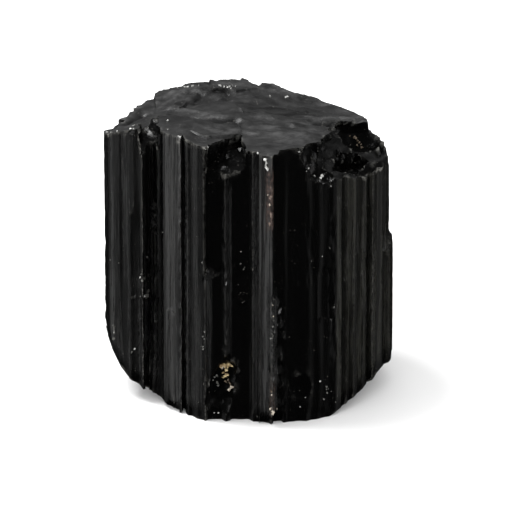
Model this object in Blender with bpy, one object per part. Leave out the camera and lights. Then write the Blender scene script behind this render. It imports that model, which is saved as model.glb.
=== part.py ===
"""A short, stout crystal of black tourmaline (schorl), standing on its broken end.

One solid: a ribbed prism whose outline is drawn corner by corner, closed above and below by
fracture surfaces, with its broken corner, notches and chips cut out of it.
"""

import math
import random
from dataclasses import dataclass

import bmesh
import bpy
from mathutils import Euler, Matrix, Vector, noise
from mathutils.geometry import delaunay_2d_cdt

NODE = "tourmaline_crystal"

# Driving dimensions. Every length below is in millimetres; MM turns it into metres.
MM = 0.001
HEIGHT = 40.5
TAPER = 0.022  # share by which the foot is wider than the top
STRIA_SPACING = 0.95  # between the fine grooves that run up the faces
STRIA_DEPTH = 0.17
DEEP_STRIAE = {"right_ribs": 1.8, "right_edge": 1.5, "left_rib": 1.3, "left_panel": 1.3}
WANDER = 0.10  # how far a groove's depth drifts along the crystal
SEED = 7

# The outline at mid height, counter-clockwise seen from above. -Y is the front, where one
# proud ridge stands between a broad smooth face and a stepped one.
OUTLINE = {
    "front_ridge": [(1.65, -15.7), (3.3, -16.45), (3.6, -15.75)],
    "smooth_face": [
        (5.0, -15.45), (5.4, -15.05), (7.6, -14.8), (8.0, -14.95), (9.7, -14.2),
        (10.0, -13.8), (11.6, -13.3),
    ],
    "right_ribs": [
        (12.1, -13.05), (12.7, -12.55), (12.85, -11.95), (13.55, -11.9), (13.85, -11.1),
        (14.5, -11.05), (14.95, -10.1), (15.75, -9.85), (16.3, -8.8), (16.45, -7.8),
    ],
    "right_edge": [(17.15, -8.05), (18.5, -5.9), (18.8, -5.0), (19.15, -4.4), (19.5, -2.2)],
    "right_back_face": [
        (19.65, 0.4), (19.45, 1.6), (18.95, 1.75), (19.1, 2.7), (18.6, 2.95), (18.65, 4.3),
        (18.2, 4.5), (18.3, 5.7), (17.7, 7.6),
    ],
    "right_back_notch": [(16.7, 7.7), (16.2, 9.3)],
    "back_right_ribs": [
        (15.4, 11.0), (14.75, 11.3), (14.5, 11.95), (13.8, 12.4), (13.1, 12.25),
        (12.3, 12.7), (12.1, 13.4), (11.6, 13.7), (10.6, 13.75), (10.2, 14.4), (9.0, 14.9),
        (8.6, 14.7), (7.2, 15.6),
    ],
    "back_face": [
        (5.4, 15.7), (4.9, 15.35), (4.4, 15.95), (3.0, 16.3), (2.0, 15.9), (1.6, 14.3),
        (0.6, 14.3), (0.2, 15.8), (-0.8, 16.3), (-1.1, 15.7), (-2.2, 16.2), (-4.0, 16.05),
        (-4.4, 15.4), (-5.0, 15.9), (-6.8, 15.4),
    ],
    "back_left_face": [
        (-7.4, 14.6), (-8.9, 14.5), (-9.3, 13.85), (-9.9, 14.1), (-11.0, 13.75),
        (-11.2, 13.1), (-12.0, 13.1), (-12.4, 12.2), (-13.5, 11.85), (-14.0, 11.3),
    ],
    "left_back_ribs": [
        (-14.7, 10.1), (-15.4, 9.6), (-16.1, 9.0), (-16.0, 8.3), (-16.6, 8.0), (-17.0, 6.9),
        (-17.7, 6.5), (-18.1, 5.4),
    ],
    "left_back_groove": [(-17.2, 4.7), (-17.3, 3.9), (-18.6, 3.6)],
    "left_edge": [(-19.3, 1.6), (-19.75, -0.4), (-19.85, -1.8), (-19.5, -4.1)],
    "left_panel": [
        (-18.75, -5.8), (-17.6, -6.55), (-17.2, -6.55), (-15.6, -7.8), (-15.05, -7.8),
        (-14.4, -8.85),
    ],
    "deep_groove": [
        (-13.95, -7.5), (-13.8, -5.6), (-13.3, -4.9), (-13.0, -6.1), (-12.75, -5.0),
        (-12.5, -5.9), (-12.35, -7.5), (-11.9, -7.7), (-11.8, -9.2),
    ],
    "left_rib": [
        (-11.5, -10.1), (-10.7, -11.0), (-10.35, -11.1), (-10.0, -11.7), (-9.1, -12.45),
    ],
    "slot": [(-8.8, -10.7)],
    "narrow_rib": [(-8.45, -12.5), (-8.1, -13.1), (-7.6, -13.15), (-6.8, -14.1), (-6.1, -14.45)],
    "stepped_face": [
        (-5.75, -14.75), (-5.45, -14.35), (-3.55, -14.3), (-3.0, -14.95), (-2.55, -14.85),
        (-2.2, -14.3), (0.2, -14.35), (0.7, -15.0), (1.45, -15.0),
    ],
}  # fmt: skip

# Ledges, where a strip of the wall ends across the grain. Each rib's ledge lies a little
# above or below its neighbour's.
LEDGE_LEVELS = {"low": 14.0, "middle": 21.5, "high": 27.5}
LEDGE_WIDTH = 0.3
LEDGE_SHIFT = 1.6
# Strips that stand proud of the wall, or lie back from it: (sector in degrees about the
# axis, the levels that it lies between, offset).
STRIPS = {
    "stepped_face_recess": ((-112.0, -104.0), ("middle", None), -0.50),
    "ridge_crust": ((-79.0, -76.5), (None, "low"), 0.35),
    "right_edge_overgrowth": ((-14.0, 10.0), (None, "middle"), 0.55),
    "groove_shelf": ((-156.0, -154.0), (None, "high"), 0.40),
    "rib_shoulder": ((-136.0, -130.0), (None, "low"), 0.30),
    "smooth_face_scar": ((-56.0, -49.0), ("low", "middle"), -0.35),
    "back_rib_stop": ((38.0, 52.0), ("low", "high"), -0.60),
    "back_strip": ((92.0, 112.0), (None, "middle"), 0.50),
    "left_back_strip": ((134.0, 148.0), ("low", None), 0.55),
    "right_back_scar": ((16.0, 23.5), ("middle", None), -0.45),
    "back_left_scar": ((117.0, 126.0), ("low", "high"), -0.40),
    "left_rib_stop": ((166.0, 173.0), (None, "low"), 0.30),
}

# The deep groove grows shallower towards the foot. From this height down, its floor moves by
# up to this share towards the line between its lips.
GROOVE = "deep_groove"
GROOVE_LIPS = ((-14.4, -8.85), (-11.8, -9.2))
GROOVE_FILL_FROM = 9.0
GROOVE_FILL = 0.75

# Levels of the rows of points up the wall. Below the first and above the last the rows
# spread out to meet the broken ends.
FIRST_LEVEL = 10.5
LAST_LEVEL = 30.5
ROWS_TO_ENDS = 3


@dataclass
class Flake:
    """A shallow scar of the broken top: where it is centred, how it slopes and bends."""

    centre: tuple
    height: float
    slope: tuple = (0.0, 0.0)
    bend: tuple = (0.0, 0.0)

    def height_at(self, x, y):
        dx, dy = x - self.centre[0], y - self.centre[1]
        level = self.height + self.slope[0] * dx + self.slope[1] * dy
        return level + self.bend[0] * dx * dx + self.bend[1] * dy * dy


# The broken top is whichever of these scars lies lowest.
TOP_FLAKES = {
    "crown": Flake((-10.0, -9.0), 40.0, (0.02, -0.05)),
    "front_dish": Flake((3.5, -4.5), 38.3, (0.0, 0.0), (0.010, 0.007)),
    "right_slope": Flake((10.0, 2.0), 37.1, (-0.17, -0.14)),
    "back_slope": Flake((-4.0, 15.0), 38.5, (0.06, -0.10), (-0.008, 0.0)),
    "back_dish": Flake((-7.0, 5.0), 38.2, (0.04, -0.03), (0.010, 0.010)),
    "left_shoulder": Flake((-18.0, 8.0), 36.35, (0.22, 0.0), (0.0, 0.0145)),
}


@dataclass
class Plate:
    """A piece of the broken top that ends in a ledge. A negative rise makes it a pit.

    The tilt is the share of height that it gains along x and y, and where that would turn
    its rise round there is no ledge.
    """

    plan: list
    rise: float
    tilt: tuple = (0.0, 0.0)

    def lift_at(self, x, y):
        if not inside(x, y, self.plan):
            return 0.0
        centre = sum((Vector(corner) for corner in self.plan), Vector((0.0, 0.0)))
        dx, dy = Vector((x, y)) - centre / len(self.plan)
        lift = self.rise + self.tilt[0] * dx + self.tilt[1] * dy
        return max(lift, 0.0) if self.rise > 0.0 else min(lift, 0.0)


TOP_PLATES = {
    "left_crystal": Plate(
        [(-13.2, 14.0), (-12.8, 7.0), (-13.3, -0.5), (-13.7, -6.0), (-13.9, -9.6),
         (-22.0, -9.6), (-22.0, 14.0)],
        -0.80,
    ),
    "left_shelf_front": Plate(
        [(-22.0, 0.2), (-17.5, -0.4), (-14.6, -1.0), (-14.35, -5.0), (-14.2, -9.3),
         (-22.0, -9.3)],
        1.0, (0.0, -0.13),
    ),
    "plateau_lip": Plate(
        [(3.9, -17.5), (4.3, -13.2), (6.0, -11.6), (9.5, -10.4), (13.5, -10.4),
         (13.5, -17.5)],
        0.45, (0.02, -0.13),
    ),
    "crown_slab": Plate(
        [(-12.4, -1.6), (-10.2, -1.5), (-8.6, -2.3), (-6.6, -3.6), (-4.2, -3.7), (-2.6, -3.0),
         (-1.0, -3.2), (-0.7, -7.4), (-5.0, -9.8), (-6.3, -16.0), (-12.8, -12.0)],
        0.30, (-0.02, 0.055),
    ),
    "flake": Plate(
        [(-6.6, -4.6), (-3.8, -5.3), (-1.4, -4.9), (-0.9, -7.6), (-3.4, -8.9), (-5.4, -10.2),
         (-7.6, -8.8)],
        0.16, (0.03, -0.08),
    ),
    "back_slab": Plate(
        [(-4.9, 11.6), (-3.4, 11.9), (-1.6, 10.9), (0.4, 11.4), (1.4, 12.6), (1.9, 18.0),
         (-5.6, 18.0)],
        0.30, (-0.05, -0.03),
    ),
    "back_rise_left": Plate(
        [(-6.0, 6.0), (0.5, 6.0), (0.5, 18.0), (-6.0, 18.0)],
        0.165, (0.22, 0.13),
    ),
    "back_rise_right": Plate(
        [(0.5, 6.0), (12.0, 6.0), (12.0, 18.0), (0.5, 18.0)],
        0.2475, (-0.11, 0.13),
    ),
    "back_pit": Plate(
        [(-9.4, 3.6), (-6.8, 5.6), (-5.2, 5.6), (-3.2, 8.2), (-2.2, 10.9), (-5.2, 9.9),
         (-8.4, 7.0)],
        -0.22, (0.04, 0.10),
    ),
    "middle_scar": Plate(
        [(-0.4, 1.2), (2.2, 2.4), (5.4, 2.2), (8.2, 3.4), (6.4, 6.8), (1.6, 8.4), (-1.6, 5.0)],
        -0.16, (0.01, 0.08),
    ),
    "right_slab": Plate(
        [(10.2, 0.2), (12.2, 2.6), (13.6, 3.2), (15.9, 5.2), (15.4, 8.4), (11.0, 9.4)],
        0.24, (0.05, -0.06),
    ),
    "right_corner": Plate(
        [(16.9, 13.0), (16.3, 8.0), (17.0, 3.5), (17.6, -1.0), (22.0, -1.0), (22.0, 13.0)],
        -1.50,
    ),
}  # fmt: skip
PLATE_EDGE = 0.24  # width of the ledge round a plate
NET_MERGE = 0.05  # points of an end face that are nearer than this become one
# Rings that spread through the front dish from where the crystal was struck.
RIPPLE_CENTRE = (5.0, 14.0)
RIPPLE_SPACING = 3.1
RIPPLE_HEIGHT = 0.10
TOP_RELIEF = 0.22
TOP_NET = 1.3  # between the points of the broken top
FOOT_NET = 2.4
EDGE_CLEARANCE = 0.5  # share of the net's spacing that is kept free along an edge

# The broken foot as planes that rise outwards: (heading in degrees, distance from the axis
# where it starts, slope). The surface is whichever lies highest.
FOOT_BEVELS = {
    "left": (180.0, 11.5, 0.50),
    "left_middle": (180.0, 14.6, 1.25),
    "left_rim": (180.0, 15.7, 2.00),
    "right": (-10.0, 14.3, 0.62),
    "back": (92.0, 12.0, 0.65),
    "back_left": (138.0, 14.2, 0.70),
    "back_right": (48.0, 15.4, 0.60),
}
FOOT_BULGE = 1.3  # how far the foot would reach below height zero
FOOT_GROUND = -0.5  # the level at which it is cut off flat instead, and that it stands on
FOOT_RELIEF = 0.35


@dataclass
class Lump:
    """A rough ball that cuts a shell-shaped chip; a square one has flatter sides."""

    centre: tuple
    radii: tuple
    turn: tuple = (0.0, 0.0, 0.0)
    squareness: float = 2.0
    subdivisions: int = 2


LUMPS = {
    "corner_scoop": Lump((17.6, -9.3, 39.9), (7.8, 12.4, 6.4), (0, 3, -17), 3.2, 3),
    "scoop_back_pocket": Lump((15.7, 1.0, 35.6), (3.7, 3.3, 3.5), (14, 0, 24), 3.4),
    "scoop_front_pocket": Lump((10.1, -13.8, 37.8), (2.6, 2.8, 3.5), (6, -20, -17), 2.5),
    "right_rim_chip": Lump((20.6, -0.4, 34.6), (2.6, 3.6, 3.6), (0, 10, 6)),
    "lower_front_chip": Lump((-3.3, -16.9, 5.0), (2.8, 3.3, 5.6), (0, 8, 0), 2.3),
    "lower_right_dish": Lump((7.6, -17.0, 4.6), (2.6, 2.5, 3.4), (0, 0, 10)),
    "left_foot_chip": Lump((-10.9, -12.0, -0.4), (1.5, 1.6, 1.4)),
    "left_rim_chip": Lump((-19.6, 3.4, 38.0), (2.8, 3.2, 2.6), (0, 0, 12)),
    "left_panel_chip": Lump((-16.1, -8.4, 39.9), (1.3, 1.6, 1.5)),
    "back_rim_chip": Lump((7.0, 17.2, 38.2), (4.4, 3.0, 2.8), (0, 0, -8)),
    "back_face_chip": Lump((-9.0, 16.4, 12.0), (3.0, 2.5, 4.8), (0, 12, 18)),
    "right_face_chip": Lump((20.4, 5.2, 26.0), (2.0, 2.6, 3.8), (10, 0, 0)),
}
LUMP_ROUGHNESS = 0.16  # share of a lump's radius
LUMP_GRAIN = 0.50  # how fast the roughness varies, per millimetre

# Breaks with flat walls that open upwards: the corners of the floor, in plan and height.
BLOCKS = {
    "front_notch": [
        (-5.3, -17.0, 35.3), (-5.2, -13.0, 36.0), (-3.3, -9.8, 36.9), (-0.8, -7.2, 37.5),
        (-0.3, -12.6, 36.8), (-0.4, -17.0, 35.9),
    ],
    "scoop_step": [
        (11.6, -9.8, 32.9), (12.2, -4.6, 32.6), (14.8, -3.0, 32.2), (16.4, -5.2, 32.3),
        (14.6, -8.8, 32.8),
    ],
    "scoop_slot": [
        (11.0, -2.2, 36.4), (11.6, 0.2, 36.6), (14.4, 1.4, 36.2), (14.9, 0.2, 35.8),
        (12.4, -2.6, 36.0),
    ],
    "groove_mouth": [
        (-14.3, -9.6, 36.3), (-14.7, -5.0, 37.0), (-13.7, -0.6, 38.4), (-12.3, -0.2, 38.4),
        (-12.2, -5.0, 37.0), (-12.1, -9.6, 36.3),
    ],
    "left_panel_break": [
        (-20.5, -7.5, 39.2), (-20.5, -3.2, 38.4), (-17.4, -3.8, 38.8), (-16.8, -6.0, 39.1),
        (-17.2, -8.4, 39.4),
    ],
}  # fmt: skip
BLOCK_TOP = 46.0

BLACK = (0.006, 0.006, 0.006, 1.0)
ROUGHNESS = 0.25


def main():
    """Builds the crystal, cuts its chips and stands it on the origin."""
    clear_scene()
    scene = bpy.context.scene.collection
    crystal = make_object(NODE, prism(), scene)
    crystal.data.materials.append(tourmaline())
    chips = bpy.data.collections.new("chips")
    scene.children.link(chips)
    for name, shape in LUMPS.items():
        hide(make_object(name, lump(shape), chips))
    for name, floor in BLOCKS.items():
        hide(make_object(name, block(floor), chips))
    cut(crystal, chips)
    stand_on_origin(crystal)


def clear_scene():
    for obj in list(bpy.data.objects):
        bpy.data.objects.remove(obj)


def make_object(name, bm, collection):
    """Turns a bmesh in millimetres into an object in metres."""
    bmesh.ops.scale(bm, vec=(MM, MM, MM), verts=bm.verts)
    mesh = bpy.data.meshes.new(name)
    bm.to_mesh(mesh)
    bm.free()
    obj = bpy.data.objects.new(name, mesh)
    collection.objects.link(obj)
    return obj


def tourmaline():
    """Near-black, with a glassy surface."""
    material = bpy.data.materials.new("black_tourmaline")
    material.use_nodes = True
    shader = material.node_tree.nodes["Principled BSDF"]
    shader.inputs["Base Color"].default_value = BLACK
    shader.inputs["Roughness"].default_value = ROUGHNESS
    shader.inputs["Metallic"].default_value = 0.0
    return material


def prism():
    """The whole prism before anything is cut from it."""
    bm = bmesh.new()
    rows = [[bm.verts.new(point) for point in row] for row in wall_rows()]
    count = len(rows[0])
    for lower, upper in zip(rows, rows[1:]):
        for i in range(count):
            after = (i + 1) % count
            bm.faces.new((lower[i], lower[after], upper[after], upper[i]))
    close_end(bm, rows[-1], top_height, TOP_NET, plate_edges(rows[-1]))
    close_end(bm, rows[0][::-1], foot_height, FOOT_NET, [])
    grind_foot(bm)
    return bm


# The wall


@dataclass
class Column:
    """A corner or a groove of the outline, followed from foot to top.

    The lip is where the column would lie if the groove that it is in were filled.
    """

    plan: Vector
    lip: Vector
    outward: Vector
    number: int

    def shift(self):
        """How much higher than the others this column's ledges lie."""
        return LEDGE_SHIFT * noise.noise(Vector((self.number * 0.61, 3.7, 0.0)))

    def point_at(self, level, height):
        """The column's point at this height, with the strips of this level."""
        drift = WANDER * noise.noise(Vector((self.number * 0.83, 0.0, height * 0.09)))
        proud = self.plan.normalized() * strip_offset(self.plan, level)
        wider = 1.0 + TAPER * (0.5 - height / HEIGHT)
        fill = GROOVE_FILL * min(max(1.0 - height / GROOVE_FILL_FROM, 0.0), 1.0)
        x, y = (self.plan.lerp(self.lip, fill) + proud + self.outward * drift) * wider
        return Vector((x, y, height))


def striated_outline():
    """The outline's points and their sides, with fine grooves along every long side."""
    rng = random.Random(SEED)
    corners = [(Vector(c), name) for name, side in OUTLINE.items() for c in side]
    points = []
    for (here, name), (there, _) in zip(corners, corners[1:] + corners[:1]):
        points.append((here, name))
        along = there - here
        outward = Vector((along.y, -along.x)).normalized()
        count = round(along.length / STRIA_SPACING)
        for i in range(1, count):
            share = (i + rng.uniform(-0.25, 0.25)) / count
            depth = STRIA_DEPTH * DEEP_STRIAE.get(name, 1.0) * rng.uniform(-1.0, 0.6)
            points.append((here + along * share + outward * depth, name))
    return points


def filled(point, name):
    """Where this point would lie if the deep groove were filled to its lips."""
    if name != GROOVE:
        return point
    left, right = (Vector(lip) for lip in GROOVE_LIPS)
    along = right - left
    return left + along * ((point - left).dot(along) / along.length_squared)


def columns():
    """The outline's points with the direction that leads away from the crystal at each."""
    points = striated_outline()
    found = []
    for i, (point, name) in enumerate(points):
        before = (point - points[i - 1][0]).normalized()
        after = (points[(i + 1) % len(points)][0] - point).normalized()
        along = before + after
        outward = Vector((along.y, -along.x)).normalized()
        found.append(Column(point, filled(point, name), outward, i))
    return found


def strip_offset(point, level):
    """How far the strips move the wall out at this point of the outline and this level."""
    angle = math.degrees(math.atan2(point.y, point.x))
    offset = 0.0
    for (start, end), (low, high), depth in STRIPS.values():
        if start <= angle <= end:
            above = LEDGE_LEVELS[low] < level if low else True
            below = level < LEDGE_LEVELS[high] if high else True
            offset += depth * (above and below)
    return offset


def levels():
    """The wall's levels, with a close pair at each ledge."""
    found = [FIRST_LEVEL, LAST_LEVEL]
    for level in LEDGE_LEVELS.values():
        found += [level - LEDGE_WIDTH / 2, level + LEDGE_WIDTH / 2]
    return sorted(found)


def wall_rows():
    """The rows of wall points, from the foot's rim to the top's."""
    around = columns()
    lowest = [end_point(column, foot_height, 0.0) for column in around]
    highest = [end_point(column, top_height, HEIGHT) for column in around]
    middle = [[c.point_at(level, level + c.shift()) for c in around] for level in levels()]
    foot = spread(around, lowest, middle[0])
    top = spread(around, middle[-1], highest)
    return foot[:-1] + middle + top[1:]


def end_point(column, surface, height):
    """Where a column meets the surface that closes its end."""
    level = height
    for _ in range(4):
        spot = column.point_at(level, height)
        height = surface(spot.x, spot.y)
    return column.point_at(level, height)


def spread(around, lower, upper):
    """Rows from lower to upper, both included."""
    rows = []
    for step in range(ROWS_TO_ENDS + 1):
        share = step / ROWS_TO_ENDS
        row = []
        for column, low, high in zip(around, lower, upper):
            level = HEIGHT if low.z > LAST_LEVEL - LEDGE_SHIFT else 0.0
            row.append(column.point_at(level, low.z + (high.z - low.z) * share))
        rows.append(row)
    return rows


# The broken ends


def inside(x, y, loop):
    """True if the point lies inside the loop, by counting the edges that a ray crosses."""
    crossed = False
    for a, b in zip(loop, loop[1:] + loop[:1]):
        if (a[1] > y) != (b[1] > y):
            if x < a[0] + (y - a[1]) * (b[0] - a[0]) / (b[1] - a[1]):
                crossed = not crossed
    return crossed


def top_height(x, y):
    """Height of the broken top at a point of the plan."""
    height = min(flake.height_at(x, y) for flake in TOP_FLAKES.values())
    height += sum(plate.lift_at(x, y) for plate in TOP_PLATES.values())
    height += TOP_RELIEF * noise.noise(Vector((x * 0.55, y * 0.55, 2.0)))
    distance = math.hypot(x - RIPPLE_CENTRE[0], y - RIPPLE_CENTRE[1])
    fade = min(max((distance - 9.0) / 6.0, 0.0), 1.0) * (x > -1.0)
    return height + fade * RIPPLE_HEIGHT * math.sin(math.tau * distance / RIPPLE_SPACING)


def foot_height(x, y):
    """Height of the broken foot at a point of the plan, before it is ground flat."""
    rises = []
    for heading, start, slope in FOOT_BEVELS.values():
        turn = math.radians(heading)
        outward = x * math.cos(turn) + y * math.sin(turn)
        rises.append((outward - start) * slope)
    relief = FOOT_RELIEF * noise.noise(Vector((x * 0.35, y * 0.35, 8.0)))
    return max([-FOOT_BULGE] + rises) + relief


def plate_edges(rim):
    """The upper and lower line of every plate's ledge, in short straight pieces."""
    pieces = []
    for plate in TOP_PLATES.values():
        corners = [Vector(corner) for corner in plate.plan]
        middle = sum(corners, Vector((0.0, 0.0))) / len(corners)
        for here, there in zip(corners, corners[1:] + corners[:1]):
            count = max(1, round((there - here).length / TOP_NET))
            for i in range(count):
                a, b = here.lerp(there, i / count), here.lerp(there, (i + 1) / count)
                for side in (-0.5, 0.5):
                    piece = [p + (p - middle).normalized() * PLATE_EDGE * side for p in (a, b)]
                    if all(clear_of(p, rim, TOP_NET * EDGE_CLEARANCE) for p in piece):
                        pieces.append(piece)
    return pieces


def clear_of(point, rim, clearance):
    """True if the point is inside the rim and no nearer to its corners than the clearance."""
    loop = [(v.co.x, v.co.y) for v in rim]
    near = any((x - point.x) ** 2 + (y - point.y) ** 2 < clearance**2 for x, y in loop)
    return not near and inside(point.x, point.y, loop)


def net_points(rim, spacing, pieces):
    """Points in staggered rows inside the rim, none too near it or the pieces."""
    rng = random.Random(SEED)
    taken = [end for piece in pieces for end in piece]
    low_x, high_x = min(v.co.x for v in rim), max(v.co.x for v in rim)
    low_y, high_y = min(v.co.y for v in rim), max(v.co.y for v in rim)
    row_step = spacing * math.sin(math.radians(60))
    points = []
    for row in range(int((high_y - low_y) / row_step) + 1):
        for i in range(int((high_x - low_x) / spacing) + 1):
            x = low_x + (i + 0.5 * (row % 2) + rng.uniform(-0.2, 0.2)) * spacing
            point = Vector((x, low_y + (row + rng.uniform(-0.2, 0.2)) * row_step))
            free = all((point - end).length > spacing * 0.4 for end in taken)
            if free and clear_of(point, rim, spacing * EDGE_CLEARANCE):
                points.append(point)
    return points


def close_end(bm, rim, surface, spacing, pieces):
    """Closes a rim of the wall with a net of triangles that lies on the surface."""
    plan = [v.co.xy for v in rim] + [end for piece in pieces for end in piece]
    edges = [(len(rim) + 2 * i, len(rim) + 2 * i + 1) for i in range(len(pieces))]
    plan += net_points(rim, spacing, pieces)
    ring = list(range(len(rim)))
    points, _, triangles, sources, _, _ = delaunay_2d_cdt(plan, edges, [ring], 1, NET_MERGE)
    verts = []
    for point, source in zip(points, sources):
        on_rim = [s for s in source if s < len(rim)]
        if on_rim:
            verts.append(rim[on_rim[0]])
        else:
            verts.append(bm.verts.new((point.x, point.y, surface(point.x, point.y))))
    for triangle in triangles:
        bm.faces.new([verts[i] for i in triangle])


def grind_foot(bm):
    """Cuts the foot off level, which leaves one flat face to stand on."""
    bmesh.ops.recalc_face_normals(bm, faces=bm.faces)
    everything = bm.verts[:] + bm.edges[:] + bm.faces[:]
    done = bmesh.ops.bisect_plane(
        bm,
        geom=everything,
        plane_co=(0, 0, FOOT_GROUND),
        plane_no=(0, 0, -1),
        clear_outer=True,
    )
    edge = [v for v in done["geom_cut"] if isinstance(v, bmesh.types.BMVert)]
    bmesh.ops.remove_doubles(bm, verts=edge, dist=NET_MERGE)
    bmesh.ops.contextual_create(bm, geom=[e for e in bm.edges if e.is_boundary])
    bmesh.ops.recalc_face_normals(bm, faces=bm.faces)


# The cutters


def lump(shape):
    """A ball pulled to its squareness, roughened, stretched, turned and put in place."""
    bm = bmesh.new()
    bmesh.ops.create_icosphere(bm, subdivisions=shape.subdivisions, radius=1.0)
    turn = Euler([math.radians(angle) for angle in shape.turn]).to_matrix().to_4x4()
    stretch = Matrix.Diagonal(Vector(shape.radii)).to_4x4()
    place = Matrix.Translation(shape.centre) @ turn @ stretch
    for vert in bm.verts:
        power = shape.squareness
        vert.co /= sum(abs(c) ** power for c in vert.co) ** (1.0 / power)
        rough = noise.noise(place @ vert.co * LUMP_GRAIN)
        vert.co *= 1.0 + LUMP_ROUGHNESS * rough
    bmesh.ops.transform(bm, matrix=place, verts=bm.verts)
    return bm


def block(floor):
    """A block with this floor, a little wider above, that reaches past the crystal's top."""
    bm = bmesh.new()
    middle = sum((Vector(corner) for corner in floor), Vector()) / len(floor)
    for corner in floor:
        low = Vector(corner)
        high = middle.lerp(low, 1.08)
        bm.verts.new(low)
        bm.verts.new((high.x, high.y, BLOCK_TOP))
    hull = bmesh.ops.convex_hull(bm, input=bm.verts[:])
    bmesh.ops.delete(bm, geom=hull["geom_interior"], context="VERTS")
    bmesh.ops.recalc_face_normals(bm, faces=bm.faces)
    return bm


def hide(cutter):
    cutter.hide_render = True
    cutter.display_type = "WIRE"


def cut(solid, chips):
    """Takes every chip out of the solid at once."""
    boolean = solid.modifiers.new("chips", "BOOLEAN")
    boolean.operation = "DIFFERENCE"
    boolean.solver = "EXACT"
    boolean.operand_type = "COLLECTION"
    boolean.collection = chips


def stand_on_origin(crystal):
    """Moves the crystal and its cutters until its box stands centred on the origin."""
    bpy.context.view_layer.update()
    shape = crystal.evaluated_get(bpy.context.evaluated_depsgraph_get())
    xs = [vert.co.x for vert in shape.data.vertices]
    ys = [vert.co.y for vert in shape.data.vertices]
    middle_x, middle_y = (min(xs) + max(xs)) / 2, (min(ys) + max(ys)) / 2
    for obj in bpy.data.objects:
        obj.location -= Vector((middle_x, middle_y, FOOT_GROUND * MM))


if __name__ == "__main__":
    main()
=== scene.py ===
"""A short, stout crystal of black tourmaline with its matrix grains and pale grains that paint its
glints, on a pale floor.

The crystal's fine surface follows the plain solid's own design: the same ribs, ledges, broken
ends and chips. On top of them it carries the fine strands, splintered ledges, rings and hackle
that the plain solid leaves out. Lengths in the classes are in millimetres.
"""

import logging
import math
import random
from abc import ABC, abstractmethod
from dataclasses import dataclass, field
from enum import Enum, IntEnum
from typing import Callable, Optional, Sequence

import bmesh
import bpy
import numpy as np
from mathutils import Euler, Matrix, Vector, noise
from mathutils.bvhtree import BVHTree
from mathutils.geometry import delaunay_2d_cdt
from mathutils.kdtree import KDTree


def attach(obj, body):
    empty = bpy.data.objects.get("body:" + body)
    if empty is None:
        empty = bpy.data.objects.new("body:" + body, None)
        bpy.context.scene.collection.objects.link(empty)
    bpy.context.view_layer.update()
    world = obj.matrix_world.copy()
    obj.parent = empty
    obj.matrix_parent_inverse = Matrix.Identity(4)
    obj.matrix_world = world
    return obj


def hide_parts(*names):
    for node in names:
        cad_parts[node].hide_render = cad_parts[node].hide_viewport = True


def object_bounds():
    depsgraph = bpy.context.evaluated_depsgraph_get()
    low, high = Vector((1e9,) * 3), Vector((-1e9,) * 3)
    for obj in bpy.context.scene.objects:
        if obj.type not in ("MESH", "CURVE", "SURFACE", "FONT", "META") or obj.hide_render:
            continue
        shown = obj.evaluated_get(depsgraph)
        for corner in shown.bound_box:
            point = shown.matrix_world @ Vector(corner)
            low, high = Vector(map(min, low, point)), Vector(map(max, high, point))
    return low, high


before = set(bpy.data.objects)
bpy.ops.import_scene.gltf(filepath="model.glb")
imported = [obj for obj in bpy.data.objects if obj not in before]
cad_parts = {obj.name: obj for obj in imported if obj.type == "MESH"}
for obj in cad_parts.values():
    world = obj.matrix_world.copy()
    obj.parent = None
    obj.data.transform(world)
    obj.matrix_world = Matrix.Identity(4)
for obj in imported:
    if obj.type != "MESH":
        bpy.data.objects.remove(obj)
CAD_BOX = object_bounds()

NODE = "tourmaline_crystal"
BODY = "root"
MM = 0.001
SEED = 7

# The levels of the wall's ledges, and the open ends of a strip that runs off the wall.
LOW, MIDDLE, HIGH = 14.0, 21.5, 27.5
BELOW, ABOVE = -math.inf, math.inf

Pair = tuple[float, float]
Triple = tuple[float, float, float]
Surface = Callable[[float, float], float]

log = logging.getLogger("tourmaline")


# Small helpers


def ramp(value: float, low: float, high: float) -> float:
    """Returns 0 below low, 1 above high, and a smooth step between."""
    share = min(max((value - low) / (high - low), 0.0), 1.0)
    return share * share * (3.0 - 2.0 * share)


def inside(x: float, y: float, loop: Sequence[Pair]) -> bool:
    """Tells whether a point of the plan lies inside a loop.

    Args:
        x: The point's first coordinate.
        y: The point's second coordinate.
        loop: The loop's corners in order.

    Returns:
        True where a ray from the point crosses the loop an odd number of times.
    """
    crossed = False
    for a, b in zip(loop, [*loop[1:], loop[0]]):
        if (a[1] > y) != (b[1] > y):
            if x < a[0] + (y - a[1]) * (b[0] - a[0]) / (b[1] - a[1]):
                crossed = not crossed
    return crossed


def angle_of(x: float, y: float) -> float:
    """Returns the heading of a point about the crystal's axis, in degrees from +X."""
    return math.degrees(math.atan2(y, x))


def rough(x: float, y: float, z: float) -> float:
    """Returns smooth noise between about -1 and 1 at a point."""
    return noise.noise(Vector((x, y, z)))


def sideways(along: Vector) -> Vector:
    """Returns the unit vector that points out of the wall, for a step along its outline."""
    return Vector((along.y, -along.x)).normalized()


def each(kind: Callable, *rows: Sequence) -> tuple:
    """Returns one object of this kind for each row of its values."""
    return tuple(kind(*row) for row in rows)


def values_of(items, name: str, width: int = 3, kind: type = float) -> np.ndarray:
    """Reads one property of many mesh elements.

    Args:
        items: The elements, such as a mesh's vertices.
        name: The property.
        width: How many numbers it holds.
        kind: The type of its numbers.

    Returns:
        A row for each element.
    """
    found = np.empty(len(items) * width, kind)
    items.foreach_get(name, found)
    return found.reshape(-1, width)


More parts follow.
